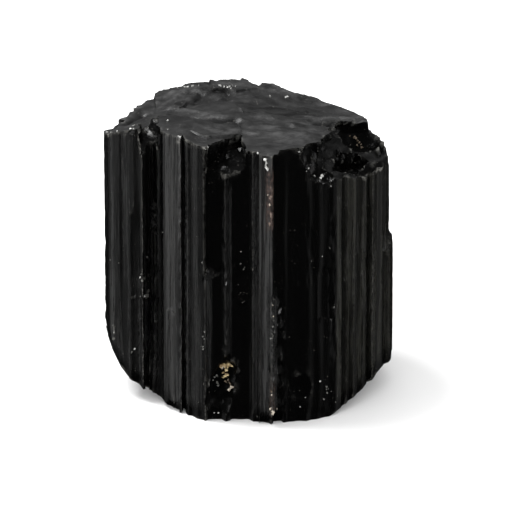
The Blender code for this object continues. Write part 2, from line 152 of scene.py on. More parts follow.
def make_object(name: str, bm: bmesh.types.BMesh) -> bpy.types.Object:
    """Turns a bmesh in millimetres into a linked object in metres.

    Args:
        name: The new object's name.
        bm: The mesh, which is freed.

    Returns:
        The object.
    """
    bmesh.ops.scale(bm, vec=(MM, MM, MM), verts=bm.verts)
    mesh = bpy.data.meshes.new(name)
    bm.to_mesh(mesh)
    bm.free()
    made = bpy.data.objects.new(name, mesh)
    bpy.context.scene.collection.objects.link(made)
    return made


def evaluated_mesh(obj: bpy.types.Object) -> bpy.types.Mesh:
    """Returns a new mesh of the object with its modifiers applied."""
    graph = bpy.context.evaluated_depsgraph_get()
    return bpy.data.meshes.new_from_object(obj.evaluated_get(graph))


# The wall


@dataclass(frozen=True)
class Strip:
    """A strip of wall that stands proud or lies back, between two ledge levels."""

    start: float
    end: float
    low: float
    high: float
    offset: float

    def offset_at(self, angle: float, level: float) -> float:
        """Returns how far the strip moves the wall out at this heading and level."""
        within = self.start <= angle <= self.end and self.low < level < self.high
        return self.offset * within


@dataclass(frozen=True)
class Crumble:
    """A patch of wall that is crumbled: its sector, heights, depth and grain size."""

    start: float
    end: float
    low: float
    high: float
    depth: float
    grain: float = 0.9

    def depth_at(self, angle: float, spot: Vector) -> float:
        """Finds how far the patch moves the wall out at a point.

        Args:
            angle: The point's heading in degrees.
            spot: The point itself.

        Returns:
            The move, mostly inwards.
        """
        across = min(angle - self.start, self.end - angle)
        along = min(spot.z - self.low, self.high - spot.z)
        if across < 0.0 or along < 0.0:
            return 0.0
        fade = ramp(across, 0.0, 0.5) * ramp(along, 0.0, 1.2)
        rate = 1.0 / self.grain
        lumps = rough(spot.x * rate + 9.0, spot.y * rate, spot.z * rate * 0.8)
        fine = rough(spot.x * rate * 2.7, spot.y * rate * 2.7, spot.z * rate * 2.2)
        return fade * self.depth * (lumps + 0.6 * fine - 0.25)


@dataclass(frozen=True)
class Splinter:
    """A flake that has sprung off the wall along its strands."""

    number: float
    width: float
    low: float
    high: float
    depth: float

    def depth_at(self, number: float, height: float) -> float:
        """Returns how far this scar moves the wall in, as a negative number, or 0."""
        if abs(number - self.number) > self.width:
            return 0.0
        ragged = 0.5 * rough(number * 2.9, self.low, 5.0)
        if not self.low + ragged < height < self.high + ragged:
            return 0.0
        return -self.depth


@dataclass
class Column:
    """A strand of the wall, followed from foot to top.

    The lip is where it would lie if the groove that it is in were filled.
    """

    plan: Vector
    lip: Vector
    outward: Vector
    number: float
    side: str
    edge: float = 0.0
    angle: float = field(init=False)

    def __post_init__(self) -> None:
        """Works out the strand's heading."""
        self.angle = angle_of(self.plan.x, self.plan.y)


# The corners of the wall's outline in plan, side by side, anticlockwise from the front ridge.
OUTLINE: dict[str, list[Pair]] = {
    "front_ridge": [(1.65, -15.7), (3.3, -16.45), (3.6, -15.75)],
    "smooth_face": [(4.9, -15.42), (5.5, -15.18), (7.6, -14.83), (8.0, -14.9), (9.7, -14.15),
     (10.1, -13.92), (11.6, -13.3)],
    "right_ribs": [(12.1, -13.05), (12.7, -12.55), (12.85, -11.95), (13.55, -11.9),
     (13.85, -11.1), (14.5, -11.05), (14.95, -10.1), (15.75, -9.85), (16.3, -8.8), (16.45, -7.8)],
    "right_edge": [(17.15, -8.05), (18.5, -5.9), (18.8, -5.0), (19.15, -4.4), (19.5, -2.2)],
    "right_back_face": [(19.65, 0.4), (19.45, 1.6), (18.95, 1.75), (19.1, 2.7), (18.6, 2.95),
     (18.65, 4.3), (18.2, 4.5), (18.3, 5.7), (17.7, 7.6)],
    "right_back_notch": [(16.7, 7.7), (16.2, 9.3)],
    "back_right_ribs": [(15.4, 11.0), (14.75, 11.3), (14.5, 11.95), (13.8, 12.4), (13.1, 12.25),
     (12.3, 12.7), (12.1, 13.4), (11.6, 13.7), (10.6, 13.75), (10.2, 14.4), (9.0, 14.9),
     (8.6, 14.7), (7.2, 15.6)],
    "back_face": [(5.4, 15.7), (4.9, 15.35), (4.4, 15.95), (3.0, 16.3), (2.0, 15.9), (1.6, 14.3),
     (0.6, 14.3), (0.2, 15.8), (-0.8, 16.3), (-1.1, 15.7), (-2.2, 16.2), (-4.0, 16.05),
     (-4.4, 15.4), (-5.0, 15.9), (-6.8, 15.4)],
    "back_left_face": [(-7.4, 14.6), (-8.9, 14.5), (-9.3, 13.85), (-9.9, 14.1), (-11.0, 13.75),
     (-11.2, 13.1), (-12.0, 13.1), (-12.4, 12.2), (-13.5, 11.85), (-14.0, 11.3)],
    "left_back_ribs": [(-14.7, 10.1), (-15.4, 9.6), (-16.1, 9.0), (-16.0, 8.3), (-16.6, 8.0),
     (-17.0, 6.9), (-17.7, 6.5), (-18.1, 5.4)],
    "left_back_groove": [(-17.2, 4.7), (-17.3, 3.9), (-18.6, 3.6)],
    "left_edge": [(-19.3, 1.6), (-19.75, -0.4), (-19.85, -1.8), (-19.5, -4.1)],
    "left_panel": [(-18.75, -5.8), (-17.6, -6.55), (-17.2, -6.55), (-15.6, -7.8), (-15.05, -7.8),
     (-14.4, -8.85)],
    "deep_groove": [(-13.95, -7.5), (-13.8, -5.6), (-13.3, -4.9), (-13.0, -6.1), (-12.75, -5.0),
     (-12.5, -5.9), (-12.35, -7.5), (-11.9, -7.7), (-11.8, -9.2)],
    "left_rib": [(-11.5, -10.1), (-10.7, -11.0), (-10.35, -11.1), (-10.0, -11.7), (-9.1, -12.45)],
    "slot": [(-8.8, -10.7)],
    "narrow_rib": [(-8.45, -12.5), (-8.1, -13.1), (-7.6, -13.15), (-6.8, -14.1), (-6.1, -14.45)],
    "stepped_face": [(-5.75, -14.75), (-5.45, -14.35), (-3.55, -14.3), (-3.0, -14.95),
     (-2.55, -14.85), (-2.2, -14.3), (0.2, -14.35), (0.7, -15.0), (1.45, -15.0)],
}  # fmt: skip

# How deep the strands are on the smoother sides, as a share of their depth elsewhere.
STRAND_SHARES: dict[str, float] = {
    "smooth_face": 0.25, "stepped_face": 0.30, "front_ridge": 0.4, "left_rib": 0.35,
    "deep_groove": 0.6, "narrow_rib": 0.6, "right_ribs": 0.7, "left_panel": 0.8,
}  # fmt: skip

# How much deeper than elsewhere the striae are on the most grooved sides.
DEEP_STRIAE: dict[str, float] = {
    "right_ribs": 1.8, "right_edge": 1.5, "left_rib": 1.3, "left_panel": 1.3,
}  # fmt: skip

# Sectors of the wall that stand proud of a ledge or lie back from it.
STRIPS: tuple[Strip, ...] = each(
    Strip,
    (-112.0, -104.0, MIDDLE, ABOVE, -0.50),
    (-79.0, -76.5, BELOW, LOW, 0.35),
    (-14.0, 10.0, BELOW, MIDDLE, 0.55),
    (-156.0, -154.0, BELOW, HIGH, 0.40),
    (-136.0, -130.0, BELOW, LOW, 0.30),
    (-56.0, -49.0, LOW, MIDDLE, -0.35),
    (38.0, 52.0, LOW, HIGH, -0.60),
    (92.0, 112.0, BELOW, MIDDLE, 0.50),
    (134.0, 148.0, LOW, ABOVE, 0.55),
    (16.0, 23.5, MIDDLE, ABOVE, -0.45),
    (117.0, 126.0, LOW, HIGH, -0.40),
    (166.0, 173.0, BELOW, LOW, 0.30),
)  # fmt: skip

# Where the wall is crumbled: along the front ridge, in the deep groove and on some ribs.
CRUMBLES: tuple[Crumble, ...] = each(
    Crumble,
    (-80.0, -71.5, -1.0, 19.5, 0.42),
    (-157.0, -149.0, 4.0, 20.5, 0.20, 1.2),
    (-157.5, -151.0, 24.0, 29.6, 0.18, 0.8),
    (-50.0, -46.5, 7.0, 31.0, 0.18),
    (-127.6, -122.8, 2.0, 38.5, 0.22, 0.7),
    (-112.5, -103.0, 19.8, 23.2, 0.34),
    (-102.5, -97.5, 8.0, 34.0, 0.20, 0.7),
    (-88.0, -83.6, 20.0, 37.0, 0.20, 0.7),
    (-16.0, 12.0, 19.5, 23.8, 0.18),
    (-28.0, -22.0, 5.0, 24.0, 0.22),
    (60.0, 72.0, 8.0, 30.0, 0.35),
    (120.0, 128.0, 3.0, 36.0, 0.30),
    (160.0, 171.0, 12.0, 34.0, 0.35),
    (-179.9, -168.0, 6.0, 22.0, 0.22),
)  # fmt: skip


@dataclass
class Wall:
    """The ribbed wall: the corners of its outline, its ledges and its broken patches."""

    height: float = 40.5
    taper: float = 0.022
    stria_spacing: float = 0.95
    stria_depth: float = 0.17
    strand_width: float = 0.205
    strand_depth: float = 0.045
    wander: float = 0.06
    ledge_width: float = 0.3
    ledge_shift: float = 1.6
    first_level: float = 10.5
    last_level: float = 30.5
    row_step: float = 0.42
    nick_depth: float = 0.16
    nick_span: Pair = (0.05, 0.45)
    foot_wear: float = 0.16
    foot_wear_to: float = 2.1
    tremble: float = 0.012
    splinter_count: int = 70
    low_rows: int = 26
    high_rows: int = 19
    toe: str = "front_ridge"
    toe_round: float = 0.7
    toe_height: float = 1.8
    groove: str = "deep_groove"
    groove_lips: tuple[Pair, Pair] = ((-14.4, -8.85), (-11.8, -9.2))
    groove_fill_from: float = 9.0
    groove_fill: float = 0.75
    strand_shares: dict[str, float] = field(default_factory=lambda: STRAND_SHARES)
    deep_striae: dict[str, float] = field(default_factory=lambda: DEEP_STRIAE)
    outline: dict[str, list[Pair]] = field(default_factory=lambda: OUTLINE)
    strips: tuple[Strip, ...] = STRIPS
    crumbles: tuple[Crumble, ...] = CRUMBLES

    def coarse_columns(self) -> list[Column]:
        """Lays out the ribs and the fine grooves between the outline's corners.

        Returns:
            The strands in order round the crystal.
        """
        rng = random.Random(SEED)
        corners = [(Vector(c), name) for name, side in self.outline.items() for c in side]
        plans = []
        for (here, name), (there, _) in zip(corners, corners[1:] + corners[:1]):
            plans.append((here, name, True))
            along = there - here
            outward = sideways(along)
            count = round(along.length / self.stria_spacing)
            for i in range(1, count):
                share = (i + rng.uniform(-0.25, 0.25)) / count
                deeper = self.deep_striae.get(name, 1.0) * rng.uniform(-1.0, 0.6)
                plan = here + along * share + outward * self.stria_depth * deeper
                plans.append((plan, name, False))
        columns = []
        for i, (plan, name, corner) in enumerate(plans):
            before = (plan - plans[i - 1][0]).normalized()
            after = (plans[(i + 1) % len(plans)][0] - plan).normalized()
            along = before + after
            turn = before.x * after.y - before.y * after.x
            edge = max(turn, 0.0) if corner else max(turn, 0.0) * 0.5
            outward = sideways(along)
            columns.append(Column(plan, self.filled(plan, name), outward, i, name, edge))
        return columns

    def filled(self, plan: Vector, side: str) -> Vector:
        """Returns where a point of a side would lie if the deep groove were filled."""
        if side != self.groove:
            return plan
        left, right = (Vector(lip) for lip in self.groove_lips)
        along = right - left
        return left + along * ((plan - left).dot(along) / along.length_squared)

    def fine_columns(self) -> list[Column]:
        """Splits every stria into strands, each a little deeper or prouder than the next.

        Returns:
            The strands in order round the crystal.
        """
        coarse = self.coarse_columns()
        rng = random.Random(SEED + 1)
        fine = []
        for i, (here, there) in enumerate(zip(coarse, coarse[1:] + coarse[:1])):
            fine.append(here)
            along = there.plan - here.plan
            outward = sideways(along)
            count = max(1, round(along.length / self.strand_width))
            for k in range(1, count):
                share = (k + rng.uniform(-0.3, 0.3)) / count
                share_of_depth = self.strand_shares.get(here.side, 1.0)
                depth = self.strand_depth * share_of_depth * rng.uniform(-1.0, 0.5)
                plan = here.plan.lerp(there.plan, share) + outward * depth
                lip = here.lip.lerp(there.lip, share) + outward * depth
                facing = here.outward.lerp(there.outward, share)
                fine.append(Column(plan, lip, facing, i + share, here.side))
        return fine

    def splinters(self, count: int) -> list[Splinter]:
        """Scatters small sprung flakes over the wall.

        Args:
            count: How many striae the wall has.

        Returns:
            The scars.
        """
        rng = random.Random(SEED + 2)
        found = []
        for _ in range(self.splinter_count):
            low = rng.uniform(2.0, 34.0)
            length = rng.uniform(1.2, 7.0)
            width = rng.uniform(0.25, 1.1)
            depth = rng.uniform(0.04, 0.13)
            found.append(Splinter(rng.uniform(0, count), width, low, low + length, depth))
        return found

    def shift(self, column: Column) -> float:
        """Returns how much higher than the others a strand's ledges lie."""
        ragged = 0.28 * rough(column.number * 3.1, 1.0, 2.0)
        return self.ledge_shift * rough(column.number * 0.61, 3.7, 0.0) + ragged

    def relief(self, column: Column, spot: Vector, scars: Sequence[Splinter]) -> float:
        """Finds the fine relief of the wall at a point.

        Args:
            column: The strand that the point is on.
            spot: The point before its relief.
            scars: The sprung flakes near the strand.

        Returns:
            How far the point moves out.
        """
        move = sum(scar.depth_at(column.number, spot.z) for scar in scars)
        move += sum(patch.depth_at(column.angle, spot) for patch in self.crumbles)
        chipped = rough(column.number * 7.3, 4.0, spot.z * 0.9)
        move -= self.nick_depth * min(column.edge, 1.0) * ramp(chipped, *self.nick_span)
        rim = ramp(self.foot_wear_to - spot.z, 0.0, 2.6)
        if rim > 0.0:
            move -= self.foot_wear * rim * (0.5 + rough(spot.x * 1.1, spot.y * 1.1, spot.z))
        if column.side == self.toe:
            move -= self.toe_round * (1.0 - ramp(spot.z, 0.0, self.toe_height)) ** 2
        return move + self.tremble * rough(column.number * 2.0, spot.z * 0.2, 9.0)

    def point_at(
        self, column: Column, level: float, height: float, scars: Sequence[Splinter] = ()
    ) -> Vector:
        """Finds a strand's point at a height.

        Args:
            column: The strand.
            level: The level that says which strips apply.
            height: The point's own height.
            scars: The sprung flakes near the strand.

        Returns:
            The point.
        """
        drift = self.wander * rough(column.number * 0.83, 0.0, height * 0.09)
        proud = sum(strip.offset_at(column.angle, level) for strip in self.strips)
        wider = 1.0 + self.taper * (0.5 - height / self.height)
        fill = self.groove_fill * min(max(1.0 - height / self.groove_fill_from, 0.0), 1.0)
        spot = (column.plan.lerp(column.lip, fill) + column.plan.normalized() * proud) * wider
        fine = self.relief(column, Vector((spot.x, spot.y, height)), scars)
        spot += column.outward * drift + column.plan.normalized() * fine
        return Vector((spot.x, spot.y, height))

    def end_point(self, column: Column, surface: Surface, height: float) -> Vector:
        """Finds where a strand meets the surface that closes its end.

        Args:
            column: The strand.
            surface: The end's height over the plan.
            height: A first guess, which also says which end it is.

        Returns:
            The meeting point.
        """
        level = height
        for _ in range(4):
            spot = self.point_at(column, level, height)
            height = surface(spot.x, spot.y)
        return self.point_at(column, level, height)

    def levels(self) -> list[float]:
        """Returns the levels of the wall's middle rows, with a close pair at each ledge."""
        marks = [self.first_level]
        for level in (LOW, MIDDLE, HIGH):
            marks += [level - self.ledge_width / 2, level + self.ledge_width / 2]
        marks.append(self.last_level)
        found = [marks[0]]
        for low, high in zip(marks, marks[1:]):
            count = max(1, round((high - low) / self.row_step))
            found += [low + (high - low) * (i + 1) / count for i in range(count)]
        return found

    def rows(self, foot: Surface, top: Surface) -> list[list[Vector]]:
        """Builds the rows of wall points, from the foot's rim to the top's.

        Args:
            foot: The foot's height over the plan.
            top: The top's height over the plan.

        Returns:
            The rows, each going once round.
        """
        around = self.fine_columns()
        scars = self.splinters(int(around[-1].number) + 1)
        strands = []
        for column in around:
            near = [s for s in scars if abs(s.number - column.number) <= s.width]
            shift = self.shift(column)
            lowest = self.end_point(column, foot, 0.0)
            highest = self.end_point(column, top, self.height)
            middle = [(level, level + shift) for level in self.levels()]
            below = self.spaced(0.0, lowest.z, middle[0][1], self.low_rows)
            above = self.spaced(self.height, middle[-1][1], highest.z, self.high_rows)
            places = below[1:-1] + middle + above[1:-1]
            strand = [self.point_at(column, lv, z, near) for lv, z in places]
            strands.append([lowest, *strand, highest])
        return [list(row) for row in zip(*strands)]

    @staticmethod
    def spaced(level: float, low: float, high: float, count: int) -> list[Pair]:
        """Returns count + 1 pairs of this level and evenly spaced heights."""
        return [(level, low + (high - low) * i / count) for i in range(count + 1)]


# The broken ends


@dataclass(frozen=True)
class Flake:
    """A shallow scar of the broken top: where it is centred, how it slopes and bends."""

    centre: Pair
    height: float
    slope: Pair = (0.0, 0.0)
    bend: Pair = (0.0, 0.0)

    def height_at(self, x: float, y: float) -> float:
        """Returns the scar's height over a point of the plan."""
        dx, dy = x - self.centre[0], y - self.centre[1]
        level = self.height + self.slope[0] * dx + self.slope[1] * dy
        return level + self.bend[0] * dx * dx + self.bend[1] * dy * dy


@dataclass(frozen=True)
class Plate:
    """A piece of the broken top that ends in a ledge. A negative rise makes it a pit."""

    plan: tuple[Pair, ...]
    rise: float
    tilt: Pair = (0.0, 0.0)

    def centre(self) -> Vector:
        """Returns the mean of the plate's corners."""
        return sum((Vector(corner) for corner in self.plan), Vector((0.0, 0.0))) / len(self.plan)

    def lift_at(self, x: float, y: float) -> float:
        """Returns how far the plate lifts the surface over a point of the plan."""
        if not inside(x, y, self.plan):
            return 0.0
        dx, dy = Vector((x, y)) - self.centre()
        lift = self.rise + self.tilt[0] * dx + self.tilt[1] * dy
        return max(lift, 0.0) if self.rise > 0.0 else min(lift, 0.0)


@dataclass(frozen=True)
class Crease:
    """A soft ridge of the broken top along a line. A negative height makes it a groove."""

    line: tuple[Pair, ...]
    height: float
    width: float

    def lift_at(self, x: float, y: float) -> float:
        """Returns how far the crease lifts the surface over a point of the plan."""
        spot = Vector((x, y))
        gaps = []
        for start, end in zip(self.line, self.line[1:]):
            here, along = Vector(start), Vector(end) - Vector(start)
            share = min(max((spot - here).dot(along) / along.length_squared, 0.0), 1.0)
            gaps.append((spot - here - along * share).length)
        return self.height * math.exp(-((min(gaps) / self.width) ** 2))


@dataclass(frozen=True)
class LightShadeSpot:
    """A painted highlight or painted shade on the broken top: a spot where the bloom is made
    lighter or darker.
    """

    centre: Pair
    radii: Pair
    strength: float

    def share(self, x: float, y: float) -> float:
        """Returns how much the spot adds at a point of the plan."""
        dx = (x - self.centre[0]) / self.radii[0]
        dy = (y - self.centre[1]) / self.radii[1]
        return self.strength * math.exp(-dx * dx - dy * dy)


class BrokenEnd(ABC):
    """A broken end of the crystal, as a height over the plan."""

    net: float = 0.4

    @abstractmethod
    def height_at(self, x: float, y: float) -> float:
        """Returns the end's height over a point of the plan."""

    def ledges(self) -> list[tuple[Pair, Pair]]:
        """Returns the straight pieces that the net has to follow."""
        return []


# The large scars of the broken top. The lowest one at a point is the one that shows.
FLAKES: tuple[Flake, ...] = each(
    Flake,
    ((-10.0, -9.0), 40.0, (0.02, -0.05)),
    ((3.5, -4.5), 38.3, (0.0, 0.0), (0.010, 0.007)),
    ((10.0, 2.0), 37.1, (-0.17, -0.14)),
    ((-4.0, 15.0), 38.5, (0.06, -0.10), (-0.008, 0.0)),
    ((-7.0, 5.0), 38.2, (0.04, -0.03), (0.010, 0.010)),
    ((-18.0, 8.0), 36.35, (0.22, 0.0), (0.0, 0.0145)),
)  # fmt: skip

# The steps and pits in those scars.
PLATES: tuple[Plate, ...] = each(
    Plate,
    (((-13.2, 14.0), (-12.8, 7.0), (-13.3, -0.5), (-13.7, -6.0), (-13.9, -9.6), (-22.0, -9.6),
     (-22.0, 14.0)), -0.80),
    (((-22.0, 0.2), (-17.5, -0.4), (-14.6, -1.0), (-14.35, -5.0), (-14.2, -9.3), (-22.0, -9.3)),
     1.0, (0.0, -0.13)),
    (((3.9, -17.5), (4.3, -13.2), (6.0, -11.6), (9.5, -10.4), (13.5, -10.4), (13.5, -17.5)), 0.45,
     (0.02, -0.13)),
    (((-12.4, -1.6), (-10.2, -1.5), (-8.6, -2.3), (-6.6, -3.6), (-4.2, -3.7), (-2.6, -3.0),
     (-1.0, -3.2), (-0.7, -7.4), (-5.0, -9.8), (-6.3, -16.0), (-12.8, -12.0)), 0.30,
     (-0.02, 0.055)),
    (((-6.6, -4.6), (-3.8, -5.3), (-1.4, -4.9), (-0.9, -7.6), (-3.4, -8.9), (-5.4, -10.2),
     (-7.6, -8.8)), 0.16, (0.03, -0.08)),
    (((-4.9, 11.6), (-3.4, 11.9), (-1.6, 10.9), (0.4, 11.4), (1.4, 12.6), (1.9, 18.0),
     (-5.6, 18.0)), 0.30, (-0.05, -0.03)),
    (((-6.0, 6.0), (0.5, 6.0), (0.5, 18.0), (-6.0, 18.0)), 0.165, (0.22, 0.13)),
    (((0.5, 6.0), (12.0, 6.0), (12.0, 18.0), (0.5, 18.0)), 0.2475, (-0.11, 0.13)),
    (((-9.4, 3.6), (-6.8, 5.6), (-5.2, 5.6), (-3.2, 8.2), (-2.2, 10.9), (-5.2, 9.9), (-8.4, 7.0)),
     -0.22, (0.04, 0.10)),
    (((-0.4, 1.2), (2.2, 2.4), (5.4, 2.2), (8.2, 3.4), (6.4, 6.8), (1.6, 8.4), (-1.6, 5.0)),
     -0.16, (0.01, 0.08)),
    (((10.2, 0.2), (12.2, 2.6), (13.6, 3.2), (15.9, 5.2), (15.4, 8.4), (11.0, 9.4)), 0.24,
     (0.05, -0.06)),
    (((16.9, 13.0), (16.3, 8.0), (17.0, 3.5), (17.6, -1.0), (22.0, -1.0), (22.0, 13.0)), -1.50),
)  # fmt: skip

# The soft ridges and grooves that run over the top.
CREASES: tuple[Crease, ...] = each(
    Crease,
    (((-12.1, 4.0), (-10.0, 4.3), (-6.5, 1.8), (-3.8, -0.7), (-1.0, -1.2)), 0.30, 0.7),
    (((-9.5, -0.4), (-6.0, -1.2), (-3.5, -2.5), (-1.6, -2.2)), -0.26, 0.8),
    (((-2.8, 7.0), (-2.8, 12.0)), -0.30, 0.45),
    (((-7.2, 7.2), (-6.2, 9.6), (-4.4, 10.4)), -0.30, 0.6),
    (((-12.1, 6.1), (-9.5, 9.8), (-6.6, 12.7)), 0.20, 0.5),
    (((-10.3, 5.6), (-8.0, 8.4), (-5.5, 13.5)), 0.16, 0.4),
    (((-12.6, 8.5), (-10.0, 12.2)), 0.18, 0.5),
    (((9.4, 1.8), (11.0, 3.6), (12.8, 5.2), (14.6, 4.8)), 0.30, 0.6),
    (((1.0, 1.5), (4.2, 2.6), (7.3, 5.0), (10.0, 5.2)), -0.20, 0.5),
    (((-1.5, 9.0), (3.0, 9.6), (7.0, 8.4), (10.5, 8.6)), 0.16, 0.5),
    (((9.6, -0.3), (11.6, 0.9), (13.9, 2.0)), -0.75, 0.45),
    (((-19.0, 2.0), (-16.4, 3.6), (-14.4, 6.4)), -0.30, 0.4),
    (((-18.6, -1.8), (-16.4, -2.4), (-14.9, -1.6)), -0.30, 0.4),
    (((-17.4, 6.4), (-15.2, 9.0)), -0.28, 0.4),
    (((-18.8, 1.4), (-17.8, 4.2), (-16.6, 7.0), (-15.4, 9.4)), 0.55, 1.2),
    (((4.0, 15.2), (9.0, 14.2), (13.0, 11.2), (16.2, 6.4)), 0.40, 1.2),
    (((16.2, 5.2), (16.6, 3.6)), 0.60, 1.0),
    (((-18.8, -3.4), (-16.8, -4.4), (-15.0, -4.6)), 0.20, 0.4),
    (((0.6, 4.2), (4.0, 6.0), (8.6, 6.6)), -0.22, 0.45),
    (((-6.4, -3.0), (-4.6, -3.6), (-3.2, -3.4)), -0.25, 0.45),
    (((-1.8, -1.6), (-0.6, -1.4)), -0.35, 0.6),
    (((-10.6, 1.6), (-8.4, 0.6), (-7.0, -0.4)), -0.20, 0.6),
    (((-6.8, 13.2), (-5.6, 11.6), (-3.6, 11.2), (-2.0, 12.2)), -0.28, 0.45),
    (((2.0, -9.0), (4.6, -9.6), (7.4, -8.2)), -0.10, 0.5),
    (((0.4, -5.6), (2.4, -6.0)), 0.12, 0.4),
    (((0.4, -10.4), (2.8, -10.8)), 0.12, 0.4),
    (((6.4, -2.2), (8.4, 0.8), (9.0, 4.0)), 0.18, 0.8),
    (((-8.0, -4.8), (-5.0, -7.0), (-2.0, -8.0)), 0.12, 0.6),
)  # fmt: skip

# Painted highlights and painted shade on the top: where its bloom is made lighter or darker.
LIGHT_AND_SHADE_SPOTS: tuple[LightShadeSpot, ...] = each(
    LightShadeSpot,
    ((-8.8, -3.2), (3.2, 4.2), -0.36),
    ((-3.6, -2.4), (2.8, 1.3), -0.45),
    ((4.0, 5.5), (6.5, 2.6), -0.28),
    ((-5.4, 8.6), (1.8, 2.3), -0.45),
    ((-2.8, 9.6), (0.7, 2.6), -0.40),
    ((-16.5, 1.0), (3.4, 9.0), -0.28),
    ((14.0, 9.0), (3.0, 3.0), -0.25),
    ((5.0, -6.0), (5.5, 6.5), 0.22),
    ((-3.6, -6.4), (3.4, 2.4), 0.30),
    ((12.2, 4.4), (2.8, 1.1), 0.45),
    ((-8.0, 11.5), (3.6, 2.6), 0.18),
    ((2.0, 13.8), (4.5, 1.6), 0.30),
    ((-8.0, 3.2), (4.5, 0.9), 0.30),
    ((-8.6, 4.6), (4.2, 2.6), -0.20),
)  # fmt: skip


@dataclass
class BrokenTop(BrokenEnd):
    """The shell-shaped break at the top, with its plates, rings and fine hackle."""

    net: float = 0.36
    plate_edge: float = 0.24
    relief: float = 0.22
    ring_centre: Pair = (5.0, 14.0)
    ring_spacing: float = 3.1
    ring_height: float = 0.10
    ring_fade: Pair = (9.0, 6.0)
    rings_right_of: float = -1.0
    fine_ring_height: float = 0.030
    fine_ring_spacing: float = 0.95
    facet: float = 0.20
    coarse_grit: float = 0.035
    fine_grit: float = 0.03
    # The grey bloom on the open top, which partly paints its sheen.
    bloom_and_sheen: float = 0.38
    # Paints highlights on the creases' crests and shade in their grooves.
    crease_light_and_shade: float = 1.5
    flakes: tuple[Flake, ...] = FLAKES
    plates: tuple[Plate, ...] = PLATES

    creases: tuple[Crease, ...] = CREASES
    light_and_shade_spots: tuple[LightShadeSpot, ...] = LIGHT_AND_SHADE_SPOTS

    def height_at(self, x: float, y: float) -> float:
        """Returns the top's height over a point of the plan."""
        height = min(flake.height_at(x, y) for flake in self.flakes)
        height += sum(plate.lift_at(x, y) for plate in self.plates)
        height += self.relief * rough(x * 0.55, y * 0.55, 2.0)
        distance = math.hypot(x - self.ring_centre[0], y - self.ring_centre[1])
        start, width = self.ring_fade
        fade = min(max((distance - start) / width, 0.0), 1.0) * (x > self.rings_right_of)
        rings = self.ring_height * math.sin(math.tau * distance / self.ring_spacing)
        return height + fade * rings + self.folds(x, y) + self.hackle(x, y, distance)

    def folds(self, x: float, y: float) -> float:
        """Returns how far the creases lift the surface over a point of the plan."""
        return sum(crease.lift_at(x, y) for crease in self.creases)

    def bloom_and_sheen_at(self, x: float, y: float) -> float:
        """Returns how strong the grey bloom and its painted sheen are over a point of the plan,
        with the painted light and shade spots and the painted light and shade along the creases.
        """
        light_and_shade_spots = sum(tone.share(x, y) for tone in self.light_and_shade_spots)
        return min(max(self.bloom_and_sheen + light_and_shade_spots + self.crease_light_and_shade * self.folds(x, y), 0.0), 1.0)

    def hackle(self, x: float, y: float, distance: float) -> float:
        """Finds the fine relief: small rings on the smooth dish and hackle elsewhere.

        Args:
            x: The point's first coordinate.
            y: The point's second coordinate.
            distance: How far the point is from where the rings start.

        Returns:
            The relief to add to the height.
        """
        smooth = ramp(x, -2.0, 0.5) * ramp(distance, 8.5, 13.0)
        bend = distance + 0.5 * rough(x * 0.3, y * 0.3, 4.0)
        wave = math.sin(math.tau * bend / self.fine_ring_spacing)
        rings = self.fine_ring_height * wave * rough(x * 0.4, y * 0.4, 6.0)
        cells = noise.voronoi(Vector((x * 0.75, y * 0.75, 1.0)))[0]
        facets = self.facet * (cells[1] - cells[0]) * rough(x * 0.5, y * 0.5, 11.0)
        grain = self.coarse_grit * rough(x * 2.3, y * 2.3, 7.0)
        grain += self.fine_grit * rough(x * 5.0, y * 5.0, 3.0)
        return smooth * (rings + 0.35 * grain) + (1.0 - smooth) * (facets + grain)

    def ledges(self) -> list[tuple[Pair, Pair]]:
        """Returns the upper and lower line of every plate's ledge, in short pieces."""
        pieces = []
        for plate in self.plates:
            middle = plate.centre()
            corners = [Vector(corner) for corner in plate.plan]
            for here, there in zip(corners, corners[1:] + corners[:1]):
                count = max(1, round((there - here).length / (self.net * 1.6)))
                for i in range(count):
                    ends = (here.lerp(there, i / count), here.lerp(there, (i + 1) / count))
                    for side in (-0.5, 0.5):
                        move = self.plate_edge * side
                        line = [p + (p - middle).normalized() * move for p in ends]
                        pieces.append((tuple(line[0]), tuple(line[1])))
        return pieces


@dataclass
class BrokenFoot(BrokenEnd):
    """The broken foot: planes that rise outwards, over the level face that it stands on."""

    net: float = 0.46
    bulge: float = 1.3
    ground: float = -0.5
    relief: float = 0.35
    facet: float = 0.22
    facet_drop: float = 0.08
    bevels: tuple[Triple, ...] = (
        (180.0, 11.5, 0.50),
        (180.0, 14.6, 1.25),
        (180.0, 15.7, 2.00),
        (-10.0, 14.3, 0.62),
        (92.0, 12.0, 0.65),
        (138.0, 14.2, 0.70),
        (48.0, 15.4, 0.60),
    )

    def height_at(self, x: float, y: float) -> float:
        """Returns the foot's height over a point of the plan, before it is ground flat."""
        rises = []
        for heading, start, slope in self.bevels:
            turn = math.radians(heading)
            outward = x * math.cos(turn) + y * math.sin(turn)
            rises.append((outward - start) * slope)
        relief = self.relief * rough(x * 0.35, y * 0.35, 8.0)
        cells = noise.voronoi(Vector((x * 0.6, y * 0.6, 5.0)))[0]
        facets = self.facet * (cells[1] - cells[0]) - self.facet_drop
        return max([-self.bulge, *rises]) + relief + facets


# The chips


class Chip(ABC):
    """A shape that is cut from the crystal."""

    @abstractmethod
    def mesh(self) -> bmesh.types.BMesh:
        """Returns the shape as a closed mesh."""


def shattered(spot: Vector, grain: float) -> float:
    """Returns splintery relief between about -1 and 1 at a point, with sharp crests."""
    crest = 1.0 - 3.0 * abs(noise.noise(spot * grain))
    return 0.7 * crest + 0.5 * noise.noise(spot * grain * 2.7)


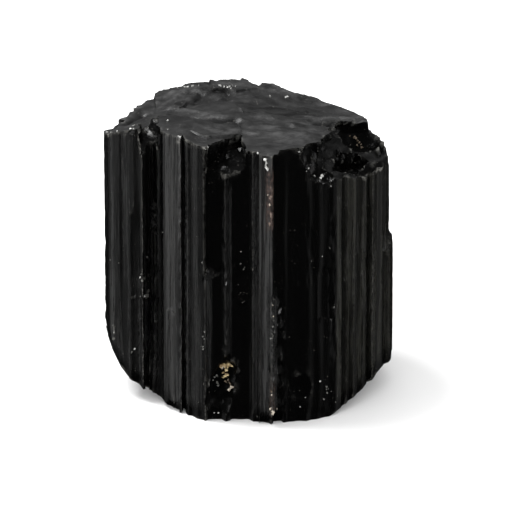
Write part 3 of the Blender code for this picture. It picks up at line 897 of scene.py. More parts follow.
@dataclass(frozen=True)
class RoughBall(Chip):
    """A rough ball that cuts a shell-shaped chip; a square one has flatter sides.

    Its facets stay flat under the fine hackle, so that they meet in crisp edges.
    """

    centre: Triple
    radii: Triple
    turn: Triple = (0.0, 0.0, 0.0)
    squareness: float = 2.0
    subdivisions: int = 2
    roughness: float = 0.16
    grain: float = 0.50
    cuts: int = 4
    hackle: float = 0.13
    hackle_grain: float = 0.95
    ripple: float = 0.0
    ripple_step: float = 1.9
    ripple_from: Triple = (8.0, 4.0, 44.0)

    def mesh(self) -> bmesh.types.BMesh:
        """Returns the ball pulled to its squareness, roughened and put in place."""
        bm = bmesh.new()
        bmesh.ops.create_icosphere(bm, subdivisions=self.subdivisions, radius=1.0)
        turn = Euler([math.radians(angle) for angle in self.turn]).to_matrix().to_4x4()
        stretch = Matrix.Diagonal(Vector(self.radii)).to_4x4()
        place = Matrix.Translation(self.centre) @ turn @ stretch
        for vert in bm.verts:
            power = self.squareness
            vert.co /= sum(abs(c) ** power for c in vert.co) ** (1.0 / power)
            vert.co *= 1.0 + self.roughness * noise.noise(place @ vert.co * self.grain)
        bmesh.ops.transform(bm, matrix=place, verts=bm.verts)
        bmesh.ops.subdivide_edges(bm, edges=bm.edges[:], cuts=self.cuts, use_grid_fill=True)
        bm.normal_update()
        for vert in bm.verts:
            distance = (vert.co - Vector(self.ripple_from)).length
            wave = self.ripple * math.sin(math.tau * distance / self.ripple_step)
            wave *= 1.0 + rough(vert.co.x * 0.4, vert.co.y * 0.4, vert.co.z * 0.4)
            splinters = self.hackle * shattered(vert.co, self.hackle_grain)
            vert.co += vert.normal * (splinters + wave)
        return bm


@dataclass(frozen=True)
class OpenBlock(Chip):
    """A break with flat walls that opens upwards, drawn by the corners of its floor."""

    floor: tuple[Triple, ...]
    top: float = 46.0
    widening: float = 1.08
    relief: float = 0.14
    grain: float = 0.8
    cell: float = 0.45
    longest: float = 1.6
    rounds: int = 12

    def mesh(self) -> bmesh.types.BMesh:
        """Returns the block, cut fine and roughened."""
        bm = bmesh.new()
        middle = sum((Vector(corner) for corner in self.floor), Vector()) / len(self.floor)
        for corner in self.floor:
            low = Vector(corner)
            high = middle.lerp(low, self.widening)
            bm.verts.new(low)
            bm.verts.new((high.x, high.y, self.top))
        hull = bmesh.ops.convex_hull(bm, input=bm.verts[:])
        bmesh.ops.delete(bm, geom=hull["geom_interior"], context="VERTS")
        for _ in range(self.rounds):
            long = [e for e in bm.edges if e.calc_length() > self.cell * self.longest]
            if not long:
                break
            bmesh.ops.subdivide_edges(bm, edges=long, cuts=1)
            bmesh.ops.triangulate(bm, faces=[f for f in bm.faces if len(f.verts) > 3])
        bmesh.ops.recalc_face_normals(bm, faces=bm.faces)
        bm.normal_update()
        for vert in bm.verts:
            vert.co += vert.normal * self.relief * shattered(vert.co, self.grain)
        return bm


CHIPS: dict[str, Chip] = {
    "corner_scoop": RoughBall((17.6, -9.3, 39.9), (7.8, 12.4, 6.4), (0, 3, -17), 3.2, 3, cuts=3,
     hackle=0.20, ripple=0.16),
    "scoop_back_pocket": RoughBall((15.7, 1.0, 35.6), (3.7, 3.3, 3.5), (14, 0, 24), 3.4,
     hackle=0.16),
    "scoop_front_pocket": RoughBall((10.1, -13.8, 37.8), (2.6, 2.8, 3.5), (6, -20, -17), 2.5,
     hackle=0.24, hackle_grain=1.1),
    "right_rim_chip": RoughBall((20.6, -0.4, 34.6), (2.6, 3.6, 3.6), (0, 10, 6)),
    "lower_front_chip": RoughBall((-3.3, -16.9, 5.0), (2.8, 3.3, 5.6), (0, 8, 0), 2.3,
     hackle=0.20),
    "lower_right_dish": RoughBall((7.6, -17.0, 4.6), (2.6, 2.5, 3.4), (0, 0, 10), hackle=0.05,
     hackle_grain=0.7),
    "left_foot_chip": RoughBall((-10.9, -12.0, -0.4), (1.5, 1.6, 1.4), cuts=3),
    "left_rim_chip": RoughBall((-19.6, 3.4, 38.0), (2.8, 3.2, 2.6), (0, 0, 12)),
    "left_panel_chip": RoughBall((-16.1, -8.4, 39.9), (1.3, 1.6, 1.5)),
    "back_rim_chip": RoughBall((7.0, 17.2, 38.2), (4.4, 3.0, 2.8), (0, 0, -8)),
    "back_face_chip": RoughBall((-9.0, 16.4, 12.0), (3.0, 2.5, 4.8), (0, 12, 18)),
    "right_face_chip": RoughBall((20.4, 5.2, 26.0), (2.0, 2.6, 3.8), (10, 0, 0)),
    "front_notch": OpenBlock(((-5.3, -17.0, 35.3), (-5.2, -13.0, 36.0), (-3.3, -9.8, 36.9),
     (-0.8, -7.2, 37.5), (-0.3, -12.6, 36.8), (-0.4, -17.0, 35.9)), relief=0.22),
    "scoop_step": OpenBlock(((11.6, -9.8, 32.9), (12.2, -4.6, 32.6), (14.8, -3.0, 32.2),
     (16.4, -5.2, 32.3), (14.6, -8.8, 32.8)), relief=0.34),
    "scoop_slot": OpenBlock(((11.0, -2.2, 36.4), (11.6, 0.2, 36.6), (14.4, 1.4, 36.2),
     (14.9, 0.2, 35.8), (12.4, -2.6, 36.0))),
    "groove_mouth": OpenBlock(((-14.3, -9.6, 36.3), (-14.7, -5.0, 37.0), (-13.7, -0.6, 38.4),
     (-12.3, -0.2, 38.4), (-12.2, -5.0, 37.0), (-12.1, -9.6, 36.3)), relief=0.30, grain=1.1),
    "left_panel_break": OpenBlock(((-20.5, -7.5, 39.2), (-20.5, -3.2, 38.4), (-17.4, -3.8, 38.8),
     (-16.8, -6.0, 39.1), (-17.2, -8.4, 39.4))),
}  # fmt: skip


# Shader trees


class Graph:
    """Short calls that add nodes to one shader tree and join them."""

    def __init__(self, tree: bpy.types.NodeTree) -> None:
        """Keeps the tree."""
        self.tree = tree

    def node(self, kind: str, inputs: Optional[dict] = None, **settings) -> bpy.types.Node:
        """Adds a node.

        Args:
            kind: The node's type name.
            inputs: Values or output sockets for its inputs, by name or number.
            **settings: The node's own settings.

        Returns:
            The node.
        """
        made = self.tree.nodes.new(kind)
        for name, value in settings.items():
            setattr(made, name, value)
        for key, value in (inputs or {}).items():
            if isinstance(value, bpy.types.NodeSocket):
                self.tree.links.new(value, made.inputs[key])
            else:
                made.inputs[key].default_value = value
        return made

    def math(self, operation: str, *values, clamp: bool = False) -> bpy.types.NodeSocket:
        """Returns the outcome of a Math node on these values or sockets."""
        inputs = dict(enumerate(values))
        made = self.node("ShaderNodeMath", inputs, operation=operation, use_clamp=clamp)
        return made.outputs[0]

    def times(self, first, second, clamp: bool = False) -> bpy.types.NodeSocket:
        """Returns the product of two values or sockets."""
        return self.math("MULTIPLY", first, second, clamp=clamp)

    def masked(self, name: str, value, low: float, high: float) -> bpy.types.NodeSocket:
        """Returns a stored mask, broken up by a noise that is spread between two limits."""
        return self.times(self.mask(name), self.span(value, low, high), clamp=True)

    def mix(self, share, first, second) -> bpy.types.NodeSocket:
        """Returns a colour between two colours or sockets."""
        inputs = {0: share, 6: first, 7: second}
        return self.node("ShaderNodeMix", inputs, data_type="RGBA").outputs[2]

    def blend(self, share, first, second) -> bpy.types.NodeSocket:
        """Returns a value between two values or sockets."""
        inputs = {0: share, 2: first, 3: second}
        return self.node("ShaderNodeMix", inputs, data_type="FLOAT").outputs[0]

    def span(self, value, low: float, high: float, to_low=0.0, to_high=1.0):
        """Returns a value mapped smoothly from one range to another and held inside it."""
        inputs = {0: value, 1: low, 2: high, 3: to_low, 4: to_high}
        made = self.node("ShaderNodeMapRange", inputs, interpolation_type="SMOOTHSTEP")
        return made.outputs[0]

    def noise(self, place, scale: float, detail: float = 3.0, roughness: float = 0.5):
        """Returns a noise texture's value at a place."""
        inputs = {"Vector": place, "Scale": scale, "Detail": detail, "Roughness": roughness}
        return self.node("ShaderNodeTexNoise", inputs).outputs[0]

    def scaled(self, place, factors: Triple) -> bpy.types.NodeSocket:
        """Returns a place with each axis scaled."""
        inputs = {0: place, 1: factors}
        return self.node("ShaderNodeVectorMath", inputs, operation="MULTIPLY").outputs[0]

    def place(self) -> bpy.types.NodeSocket:
        """Returns the object's own coordinates in millimetres."""
        own = self.node("ShaderNodeTexCoord").outputs["Object"]
        return self.scaled(own, (1.0 / MM,) * 3)

    def mask(self, name: str) -> bpy.types.NodeSocket:
        """Returns a value that is stored on the mesh."""
        return self.node("ShaderNodeAttribute", attribute_name=name).outputs["Fac"]


class EffectGroup(ABC):
    """A shader effect that several finishes share, built once as a node group."""

    name: str
    inputs: tuple[str, ...]
    outputs: tuple[str, ...]

    def tree(self) -> bpy.types.NodeTree:
        """Returns the group's tree, made on the first call."""
        found = bpy.data.node_groups.get(self.name)
        if found:
            return found
        tree = bpy.data.node_groups.new(self.name, "ShaderNodeTree")
        for name in self.inputs:
            kind = "NodeSocketVector" if name == "Place" else "NodeSocketFloat"
            tree.interface.new_socket(name, in_out="INPUT", socket_type=kind)
        for name in self.outputs:
            tree.interface.new_socket(name, in_out="OUTPUT", socket_type="NodeSocketFloat")
        graph = Graph(tree)
        values = graph.node("NodeGroupInput").outputs
        made = self.build(graph, values)
        graph.node("NodeGroupOutput", dict(zip(self.outputs, made)))
        return tree

    @abstractmethod
    def build(self, graph: Graph, values) -> tuple:
        """Adds the effect's nodes.

        Args:
            graph: The group's tree.
            values: The group's inputs, by name.

        Returns:
            One socket for each output.
        """

    def use(self, graph: Graph, **values) -> bpy.types.NodeOutputs:
        """Places the group in a tree, with these values or sockets, and returns its outputs."""
        return graph.node("ShaderNodeGroup", values, node_tree=self.tree()).outputs


class StrandEffect(EffectGroup):
    """Fine strands that run up the crystal: their height and how light each one is."""

    name = "strands"
    inputs = ("Place", "Fineness")
    outputs = ("Height", "Light")

    def build(self, graph: Graph, values) -> tuple:
        """Adds noise that is drawn out along the crystal, at three widths."""
        place = values["Place"]
        warp = graph.noise(graph.scaled(place, (0.15, 0.15, 0.05)), 1.0, 2.0)
        bent = graph.node(
            "ShaderNodeVectorMath", {0: place, 1: warp}, operation="ADD"
        ).outputs[0]
        drawn = graph.scaled(bent, (1.0, 1.0, 0.018))
        wide = graph.noise(drawn, 1.1, 2.0)
        fine = graph.noise(drawn, values["Fineness"], 4.0, 0.7)
        short = graph.noise(graph.scaled(bent, (1.0, 1.0, 0.10)), 5.5, 3.0, 0.65)
        height = graph.math("MULTIPLY_ADD", fine, 0.8, graph.times(short, 0.2))
        light = graph.times(graph.span(wide, 0.35, 0.65), graph.span(fine, 0.3, 0.7))
        return height, light


class HackleEffect(EffectGroup):
    """Fine roughness of a broken face: its height and a blotchy tone."""

    name = "hackle"
    inputs = ("Place", "Fineness")
    outputs = ("Height", "Tone")

    def build(self, graph: Graph, values) -> tuple:
        """Adds a coarse and a fine noise."""
        place = values["Place"]
        coarse = graph.noise(place, 0.9, 4.0, 0.6)
        fine = graph.noise(place, values["Fineness"], 6.0, 0.7)
        height = graph.math("MULTIPLY_ADD", fine, 0.6, graph.times(coarse, 0.4))
        tone = graph.span(graph.math("ADD", coarse, graph.times(fine, 0.5)), 0.55, 0.95)
        return height, tone


class SpeckEffect(EffectGroup):
    """Small specks of pale dust that cling to a surface."""

    name = "specks"
    inputs = ("Place", "Density")
    outputs = ("Mask",)

    def build(self, graph: Graph, values) -> tuple:
        """Adds small spots round random points, thinned out by a coarse noise."""
        place = values["Place"]
        spots = graph.node(
            "ShaderNodeTexVoronoi", {"Vector": place, "Scale": 2.6}, feature="F1"
        ).outputs["Distance"]
        patch = graph.noise(place, 0.5, 3.0)
        reach = graph.times(graph.span(patch, 0.45, 0.7), values["Density"])
        nearness = graph.math("SUBTRACT", reach, spots)
        return (graph.span(nearness, 0.0, 0.08),)


STRANDS = StrandEffect()
HACKLE = HackleEffect()
SPECKS = SpeckEffect()


class Finish(ABC):
    """One finish of the crystal, its grains or the floor."""

    name: str
    ior: float = 1.5

    def material(self) -> bpy.types.Material:
        """Returns a material with this finish's nodes and its fixed numbers set."""
        made = bpy.data.materials.new(self.name)
        made.use_nodes = True
        shader = made.node_tree.nodes["Principled BSDF"]
        shader.inputs["IOR"].default_value = self.ior
        self.build(Graph(made.node_tree), shader)
        return made

    @abstractmethod
    def build(self, graph: Graph, shader: bpy.types.Node) -> None:
        """Adds the finish's nodes.

        Args:
            graph: The material's tree.
            shader: Its Principled shader.
        """

    @staticmethod
    def wire(graph: Graph, shader: bpy.types.Node, colour, roughness, height, depth) -> None:
        """Joins the finish's outcome to the shader.

        Args:
            graph: The material's tree.
            shader: Its Principled shader.
            colour: The base colour's socket.
            roughness: The roughness's socket.
            height: The fine relief's socket, from 0 to 1.
            depth: The fine relief's depth in millimetres.
        """
        bump = graph.node("ShaderNodeBump", {"Height": height, "Distance": depth * MM})
        graph.tree.links.new(colour, shader.inputs["Base Color"])
        graph.tree.links.new(roughness, shader.inputs["Roughness"])
        graph.tree.links.new(bump.outputs[0], shader.inputs["Normal"])


Colour = tuple[float, float, float, float]


@dataclass(frozen=True)
class GrownFinish(Finish):
    """The crystal's grown faces: glassy black, with a painted grey sheen on the proud ribs."""

    name: str = "grown_tourmaline"
    black: Colour = (0.0007, 0.0007, 0.0007, 1.0)
    # The grey of the painted sheen on the ribs.
    painted_sheen: Colour = (0.024, 0.024, 0.0235, 1.0)
    olive: Colour = (0.024, 0.0235, 0.0175, 1.0)
    # Light grey of worn edges, which also paints their glints.
    worn_and_glint: Colour = (0.17, 0.165, 0.15, 1.0)
    stain: Colour = (0.044, 0.024, 0.018, 1.0)
    stain_dark: Colour = (0.012, 0.007, 0.005, 1.0)
    stain_pale: Colour = (0.16, 0.115, 0.09, 1.0)
    dust: Colour = (0.20, 0.19, 0.165, 1.0)
    glassy: float = 0.17
    dull: float = 0.50
    ior: float = 1.64

    def build(self, graph: Graph, shader: bpy.types.Node) -> None:
        """Adds the strands, the painted sheen on the ribs, the worn edges with their painted
        glints, stain and dust.
        """
        place = graph.place()
        strands = STRANDS.use(graph, Place=place, Fineness=6.5)
        # The painted sheen on the ribs, streaked by the strands.
        streak = graph.span(strands["Light"], 0.0, 0.65, 0.28, 1.40)
        painted_sheen = graph.times(graph.mask("painted_sheen"), streak, clamp=True)
        blotch = graph.noise(place, 1.3, 4.0, 0.6)
        olive = graph.masked("olive", blotch, 0.2, 0.6)
        colour = graph.mix(painted_sheen, self.black, graph.mix(olive, self.painted_sheen, self.olive))
        worn_and_glint = graph.masked("wear_and_glint", blotch, 0.35, 0.7)
        colour = graph.mix(worn_and_glint, colour, self.worn_and_glint)
        spots = graph.noise(graph.scaled(place, (1.0, 1.0, 0.55)), 2.0, 4.0)
        rust = graph.mix(graph.span(spots, 0.43, 0.54), self.stain_dark, self.stain)
        rust = graph.mix(graph.span(spots, 0.59, 0.68), rust, self.stain_pale)
        stain = graph.masked("stain", graph.noise(place, 3.1, 5.0), 0.36, 0.5)
        colour = graph.mix(stain, colour, rust)
        specks = SPECKS.use(graph, Place=place, Density=0.16)["Mask"]
        colour = graph.mix(graph.times(specks, 0.7), colour, self.dust)
        rough_share = graph.math("MAXIMUM", graph.times(painted_sheen, 0.8), worn_and_glint)
        rough_share = graph.math("MAXIMUM", rough_share, stain)
        roughness = graph.blend(rough_share, self.glassy, self.dull)
        self.wire(graph, shader, colour, roughness, strands["Height"], 0.014)


@dataclass(frozen=True)
class BrokenFinish(Finish):
    """The crystal's broken faces: duller, with a grey bloom that partly paints sheen, worn ledges
    that partly paint glints, and painted shade in the hollows.
    """

    name: str = "broken_tourmaline"
    black: Colour = (0.0010, 0.0010, 0.0010, 1.0)
    bloom_and_sheen: Colour = (0.036, 0.036, 0.036, 1.0)
    # Light grey of worn ledges, which also paints their glints.
    worn_and_glint: Colour = (0.14, 0.138, 0.13, 1.0)
    # Near black: the painted shade in the hollows.
    hollow_shade: Colour = (0.004, 0.0035, 0.003, 1.0)
    dust: Colour = (0.22, 0.21, 0.19, 1.0)
    smooth: float = 0.42
    dull: float = 0.56
    shine: float = 0.36
    ior: float = 1.64

    def build(self, graph: Graph, shader: bpy.types.Node) -> None:
        """Adds the hackle, the bloom with its painted sheen, the worn ledges with their painted
        glints, painted shade in the hollows, and dust.
        """
        place = graph.place()
        hackle = HACKLE.use(graph, Place=place, Fineness=5.0)
        wide = graph.noise(graph.scaled(place, (0.34, 0.50, 0.5)), 1.0, 5.0, 0.68)
        fine = graph.math("MULTIPLY_ADD", hackle["Tone"], 0.60, 0.45)
        tone = graph.times(graph.span(wide, 0.34, 0.64, 0.15, 1.4), fine)
        # The bloom, partly painted sheen, over the open top.
        bloom_and_sheen = graph.times(graph.mask("bloom_and_sheen"), tone, clamp=True)
        colour = graph.mix(bloom_and_sheen, self.black, self.bloom_and_sheen)
        blotch = graph.noise(place, 1.7, 4.0, 0.6)
        worn_and_glint = graph.masked("wear_and_glint", blotch, 0.35, 0.65)
        colour = graph.mix(worn_and_glint, colour, self.worn_and_glint)
        # Painted shade in the hollows, broken up by noise.
        hollow_shade = graph.masked("hollow_shade", graph.noise(place, 1.9, 5.0), 0.42, 0.6)
        colour = graph.mix(hollow_shade, colour, self.hollow_shade)
        specks = SPECKS.use(graph, Place=place, Density=0.20)["Mask"]
        colour = graph.mix(graph.times(specks, 0.6), colour, self.dust)
        dulled = graph.math("MAXIMUM", bloom_and_sheen, graph.math("MAXIMUM", worn_and_glint, hollow_shade))
        roughness = graph.blend(dulled, self.smooth, self.dull)
        self.wire(graph, shader, colour, roughness, hackle["Height"], 0.055)
        shader.inputs["Specular IOR Level"].default_value = self.shine


@dataclass(frozen=True)
class GrainFinish(Finish):
    """Matrix grains: two tones of one mineral, with a fine sugary surface."""

    name: str
    light: Colour
    dark: Colour
    roughness: float
    ior: float = 1.54

    def build(self, graph: Graph, shader: bpy.types.Node) -> None:
        """Adds the two tones and the fine surface."""
        place = graph.place()
        hackle = HACKLE.use(graph, Place=place, Fineness=9.0)
        tone = graph.span(graph.noise(place, 2.2, 4.0, 0.6), 0.38, 0.62)
        colour = graph.mix(tone, self.dark, self.light)
        dirt = graph.span(graph.noise(place, 5.0, 3.0), 0.56, 0.72, 0.0, 0.7)
        colour = graph.mix(dirt, colour, tuple(c * 0.3 for c in self.dark[:3]) + (1.0,))
        roughness = graph.blend(hackle["Tone"], self.roughness, self.roughness + 0.2)
        self.wire(graph, shader, colour, roughness, hackle["Height"], 0.03)


@dataclass(frozen=True)
class FloorFinish(Finish):
    """The plain pale floor."""

    name: str = "pale_floor"
    pale: Colour = (0.72, 0.72, 0.72, 1.0)
    paler: Colour = (0.75, 0.75, 0.75, 1.0)

    def build(self, graph: Graph, shader: bpy.types.Node) -> None:
        """Adds a hardly visible unevenness."""
        place = graph.place()
        tone = graph.noise(place, 0.02, 2.0)
        colour = graph.mix(tone, self.pale, self.paler)
        self.wire(graph, shader, colour, graph.span(tone, 0.0, 1.0, 0.85, 0.95), tone, 0.01)


FINISHES: tuple[Finish, ...] = (
    GrownFinish(),
    BrokenFinish(),
    BrokenFinish(
        "hollow_tourmaline", (0.0007, 0.0007, 0.0007, 1.0), worn_and_glint=(0.17, 0.168, 0.155, 1.0),
        smooth=0.20, dull=0.40, shine=0.13,
    ),
)  # fmt: skip


# The crystal


@dataclass(frozen=True)
class Patch:
    """A patch of the wall that carries a film or stain: its sector, heights and strength."""

    start: float
    end: float
    strength: float
    soft: float = 0.5
    low: float = -5.0
    high: float = 45.0
    fade: float = 1.0

    def share(self, angle: float, height: float) -> float:
        """Returns the patch's strength at a heading and a height."""
        across = ramp(angle, self.start - self.soft, self.start + self.soft)
        across *= 1.0 - ramp(angle, self.end - self.soft, self.end + self.soft)
        along = ramp(height, self.low - self.fade, self.low + self.fade)
        along *= 1.0 - ramp(height, self.high - self.fade, self.high + self.fade)
        return self.strength * across * along


def shares(patches: Sequence[Patch], angle: float, height: float) -> float:
    """Returns the strength of all these patches together at a heading and a height."""
    return sum(patch.share(angle, height) for patch in patches)


class Break(IntEnum):
    """The kinds of surface that the crystal has, in the order of their finishes."""

    WALL = 0
    END = 1
    CHIP = 2


class Mask(Enum):
    """The values that are stored on the crystal's mesh."""

    PAINTED_SHEEN = "painted_sheen"
    OLIVE = "olive"
    STAIN = "stain"
    WEAR_AND_GLINT = "wear_and_glint"
    BLOOM = "bloom_and_sheen"
    HOLLOW_SHADE = "hollow_shade"


# The glassy faces, whose edges show no wear or painted glint.
POLISHED: tuple[Patch, ...] = each(
    Patch,
    (-76.4, -48.5, 0.75),
    (-108.0, -88.0, 0.50),
)  # fmt: skip

# The painted grey sheen of the ribs, set sector by sector, from the left panel round the front to
# the back.
PAINTED_SHEEN: tuple[Patch, ...] = each(
    Patch,
    (-138.9, -125.9, 0.95),
    (-172.0, -164.5, 0.12, 1.0),
    (-164.5, -161.5, 0.52, 0.6),
    (-161.5, -159.4, 0.22),
    (-159.4, -156.0, 0.42),
    (-156.0, -152.8, 0.20),
    (-152.8, -149.4, 0.26),
    (-149.4, -147.8, 0.50, 0.2),
    (-164.0, -150.0, 0.10, 1.0, -5.0, 18.0),
    (-147.8, -139.5, 0.10, 0.5, -5.0, 24.0),
    (-124.4, -121.8, 0.75, 0.3),
    (-121.8, -113.0, 0.30),
    (-112.0, -108.8, 0.35, 0.5, -5.0, 21.0),
    (-101.8, -98.6, 0.40, 0.3, -5.0, 34.0),
    (-87.6, -84.2, 0.30, 0.3),
    (-84.2, -78.5, 1.0, 0.3),
    (-79.6, -75.8, 0.40, 0.3, -5.0, 19.0),
    (-47.0, -25.0, 0.40),
    (-25.0, -8.0, 0.35),
    (10.0, 34.0, 0.40),
    (52.0, 70.0, 0.50),
    (92.0, 112.0, 0.55, 0.5, -5.0, 21.0),
    (118.0, 133.0, 0.30),
    (146.0, 164.0, 0.45),
)  # fmt: skip

# Where the painted sheen is a little olive.
OLIVE: tuple[Patch, ...] = each(
    Patch,
    (-47.5, -8.0, 1.0),
    (52.0, 70.0, 0.8),
)  # fmt: skip

# The rusty stains: high and low on the front ridge, and one at the back.
STAIN: tuple[Patch, ...] = each(
    Patch,
    (-81.1, -77.9, 1.0, 0.3, 28.8, 37.0),
    (-79.6, -76.5, 0.35, 0.3, 1.0, 6.0),
    (98.0, 102.0, 0.6, 0.5, 4.0, 18.0),
)  # fmt: skip


@dataclass
class CrystalSurface:
    """The crystal's fine surface, its masks and its finishes."""

    name: str = "tourmaline_crystal_surface"
    wall: Wall = field(default_factory=Wall)
    top: BrokenTop = field(default_factory=BrokenTop)
    foot: BrokenFoot = field(default_factory=BrokenFoot)
    merge: float = 0.03
    clearance: float = 0.45
    sharp_angle: float = 32.0
    broken_reach: float = 0.05
    broken_share: float = 0.7
    top_from: float = 33.0
    foot_to: float = 9.0
    net_jitter: float = 0.2
    net_clearance: float = 0.4
    # hollow_from and hollow_gain set the painted shade in the hollows.
    hollow_from: float = 0.10
    hollow_gain: float = 3.0
    # edge_from and edge_gain set the wear and painted glints on sharp edges.
    edge_from: float = 0.16
    edge_gain: float = 2.6
    foot_shade_rise: Pair = (0.8, 2.8)
    wear_and_glint_rise: Pair = (2.0, 5.0)
    rim_wear_and_glint: float = 0.8
    chip_wear_and_glint: float = 2.0
    polished: tuple[Patch, ...] = POLISHED
    painted_sheen: tuple[Patch, ...] = PAINTED_SHEEN
    olive: tuple[Patch, ...] = OLIVE
    stain: tuple[Patch, ...] = STAIN

    def prism(self) -> bmesh.types.BMesh:
        """Builds the whole prism before anything is cut from it.

        Returns:
            The prism as a closed mesh, ground flat at the foot.
        """
        bm = bmesh.new()
        places = self.wall.rows(self.foot.height_at, self.top.height_at)
        rows = [[bm.verts.new(point) for point in row] for row in places]
        count = len(rows[0])
        for lower, upper in zip(rows, rows[1:]):
            for i in range(count):
                after = (i + 1) % count
                bm.faces.new((lower[i], lower[after], upper[after], upper[i]))
        self.close_end(bm, rows[-1], self.top)
        self.close_end(bm, rows[0][::-1], self.foot)
        self.grind_foot(bm)
        return bm

    def close_end(self, bm: bmesh.types.BMesh, rim: list, end: BrokenEnd) -> None:
        """Closes a rim of the wall with a fine net of triangles on the broken surface.

        Args:
            bm: The mesh.
            rim: The rim's points in order.
            end: The broken end.
        """
        loop = np.array([(v.co.x, v.co.y) for v in rim])
        near = end.net * self.clearance
        pieces = self.clear_pieces(loop, end.ledges(), near)
        ends = [point for piece in pieces for point in piece]
        spots = self.net_points(loop, end.net, ends)
        plan = [Vector(p) for p in [*map(tuple, loop), *ends, *spots]]
        edges = [(len(rim) + 2 * i, len(rim) + 2 * i + 1) for i in range(len(pieces))]
        ring = list(range(len(rim)))
        points, _, triangles, sources, _, _ = delaunay_2d_cdt(
            plan, edges, [ring], 1, self.merge
        )
        verts = []
        for point, source in zip(points, sources):
            on_rim = [s for s in source if s < len(rim)]
            if on_rim:
                verts.append(rim[on_rim[0]])
            else:
                height = end.height_at(point.x, point.y)
                verts.append(bm.verts.new((point.x, point.y, height)))
        for triangle in triangles:
            bm.faces.new([verts[i] for i in triangle])

    def clear_pieces(self, loop: np.ndarray, pieces: list, near: float) -> list:
        """Keeps the ledge pieces that lie inside a rim and clear of it.

        Args:
            loop: The rim's corners in plan.
            pieces: Pairs of points.
            near: How near to the rim's corners is too near.

        Returns:
            The pieces that stay.
        """
        if not pieces:
            return []
        ends = np.array(pieces, float).reshape(-1, 2)
        good = self.clear(ends, loop, near).reshape(-1, 2).all(axis=1)
        return [piece for piece, keep in zip(pieces, good) if keep]

    def net_points(self, loop: np.ndarray, spacing: float, taken: list) -> list[Pair]:
        """Lays points in staggered rows inside a rim, none too near it or the taken ones.

        Args:
            loop: The rim's corners in plan.
            spacing: The distance between neighbours.
            taken: Points that are already there.

        Returns:
            The points.
        """
        rng = np.random.default_rng(SEED)
        low, high = loop.min(axis=0), loop.max(axis=0)
        step = spacing * math.sin(math.radians(60))
        rows, across = int((high[1] - low[1]) / step) + 1, int((high[0] - low[0]) / spacing) + 1
        row, i = np.mgrid[0:rows, 0:across]
        x = low[0] + (i + 0.5 * (row % 2)) * spacing
        y = low[1] + row * step
        points = np.stack([x.ravel(), y.ravel()], axis=1)
        points += rng.uniform(-self.net_jitter, self.net_jitter, points.shape) * spacing
        points = points[self.clear(points, loop, spacing * self.clearance)]
        if taken:
            near = spacing * self.net_clearance
            points = points[self.far(points, np.array(taken, float), near)]
        return [tuple(point) for point in points.tolist()]

    @staticmethod
    def far(points: np.ndarray, others: np.ndarray, distance: float) -> np.ndarray:
        """Returns which points lie further than a distance from all the others."""
        tree = KDTree(len(others))
        for i, (x, y) in enumerate(others.tolist()):
            tree.insert((x, y, 0.0), i)
        tree.balance()
        return np.array([tree.find((x, y, 0.0))[2] > distance for x, y in points.tolist()])

    def clear(self, points: np.ndarray, loop: np.ndarray, near: float) -> np.ndarray:
        """Returns which points lie inside a rim and no nearer than this to its corners."""
        x, y = points[:, :1], points[:, 1:]
        a, b = loop[None], np.roll(loop, -1, axis=0)[None]
        spans = (a[..., 1] > y) != (b[..., 1] > y)
        rise = np.where(spans, b[..., 1] - a[..., 1], 1.0)
        hit = x < a[..., 0] + (y - a[..., 1]) * (b[..., 0] - a[..., 0]) / rise
        within = (spans & hit).sum(axis=1) % 2 == 1
        within[within] = self.far(points[within], loop, near)
        return within

    def grind_foot(self, bm: bmesh.types.BMesh) -> None:
        """Cuts the foot off level, which leaves one flat face."""
        bmesh.ops.recalc_face_normals(bm, faces=bm.faces)
        everything = bm.verts[:] + bm.edges[:] + bm.faces[:]
        done = bmesh.ops.bisect_plane(
            bm,
            geom=everything,
            plane_co=(0, 0, self.foot.ground),
            plane_no=(0, 0, -1),
            clear_outer=True,
        )
        edge = [v for v in done["geom_cut"] if isinstance(v, bmesh.types.BMVert)]
        bmesh.ops.remove_doubles(bm, verts=edge, dist=self.merge)
        bmesh.ops.contextual_create(bm, geom=[e for e in bm.edges if e.is_boundary])
        bmesh.ops.recalc_face_normals(bm, faces=bm.faces)

    def build(self) -> bpy.types.Object:
        """Builds the surface, cuts its chips and dresses it.

        Returns:
            The crystal.
        """
        body = make_object(self.name, self.prism())
        cutters = [make_object(name, chip.mesh()) for name, chip in CHIPS.items()]
        broken = BVHTree.FromPolygons(*self.joined(cutters))
        for cutter in cutters:
            boolean = body.modifiers.new(cutter.name, "BOOLEAN")
            boolean.operation = "DIFFERENCE"
            boolean.solver = "MANIFOLD"
            boolean.object = cutter
        mesh = evaluated_mesh(body)
        body.modifiers.clear()
        body.data = mesh
        mesh.name = self.name
        for cutter in cutters:
            bpy.data.objects.remove(cutter)
        log.info("cut surface: %d vertices, %d faces", len(mesh.vertices), len(mesh.polygons))
        self.mark(mesh, broken)
        self.fit(mesh)
        return body

    @staticmethod
    def joined(cutters: list) -> tuple[list, list]:
        """Returns all the cutters' points and faces as one pair of lists, in metres."""
        points, faces = [], []
        for cutter in cutters:
            start = len(points)
            points += [v.co.copy() for v in cutter.data.vertices]
            faces += [[start + i for i in f.vertices] for f in cutter.data.polygons]
        return points, faces

    def mark(self, mesh: bpy.types.Mesh, broken: BVHTree) -> None:
        """Stores the masks on the mesh and gives each face its finish.

        Args:
            mesh: The cut mesh.
            broken: The chips' surfaces.
        """
        points = values_of(mesh.vertices, "co") / MM
        normals = values_of(mesh.vertex_normals, "vector")
        breaks = self.breaks(points, broken)
        sharp = self.sharpness(mesh, points, normals)
        masks = self.patch_masks(points)
        edges = np.clip((sharp - self.edge_from) * self.edge_gain, 0.0, 1.0)
        # Wear and painted glints on sharp edges and along the rims of the breaks.
        masks[Mask.WEAR_AND_GLINT] = self.wear_and_glint(mesh, points, breaks, edges)
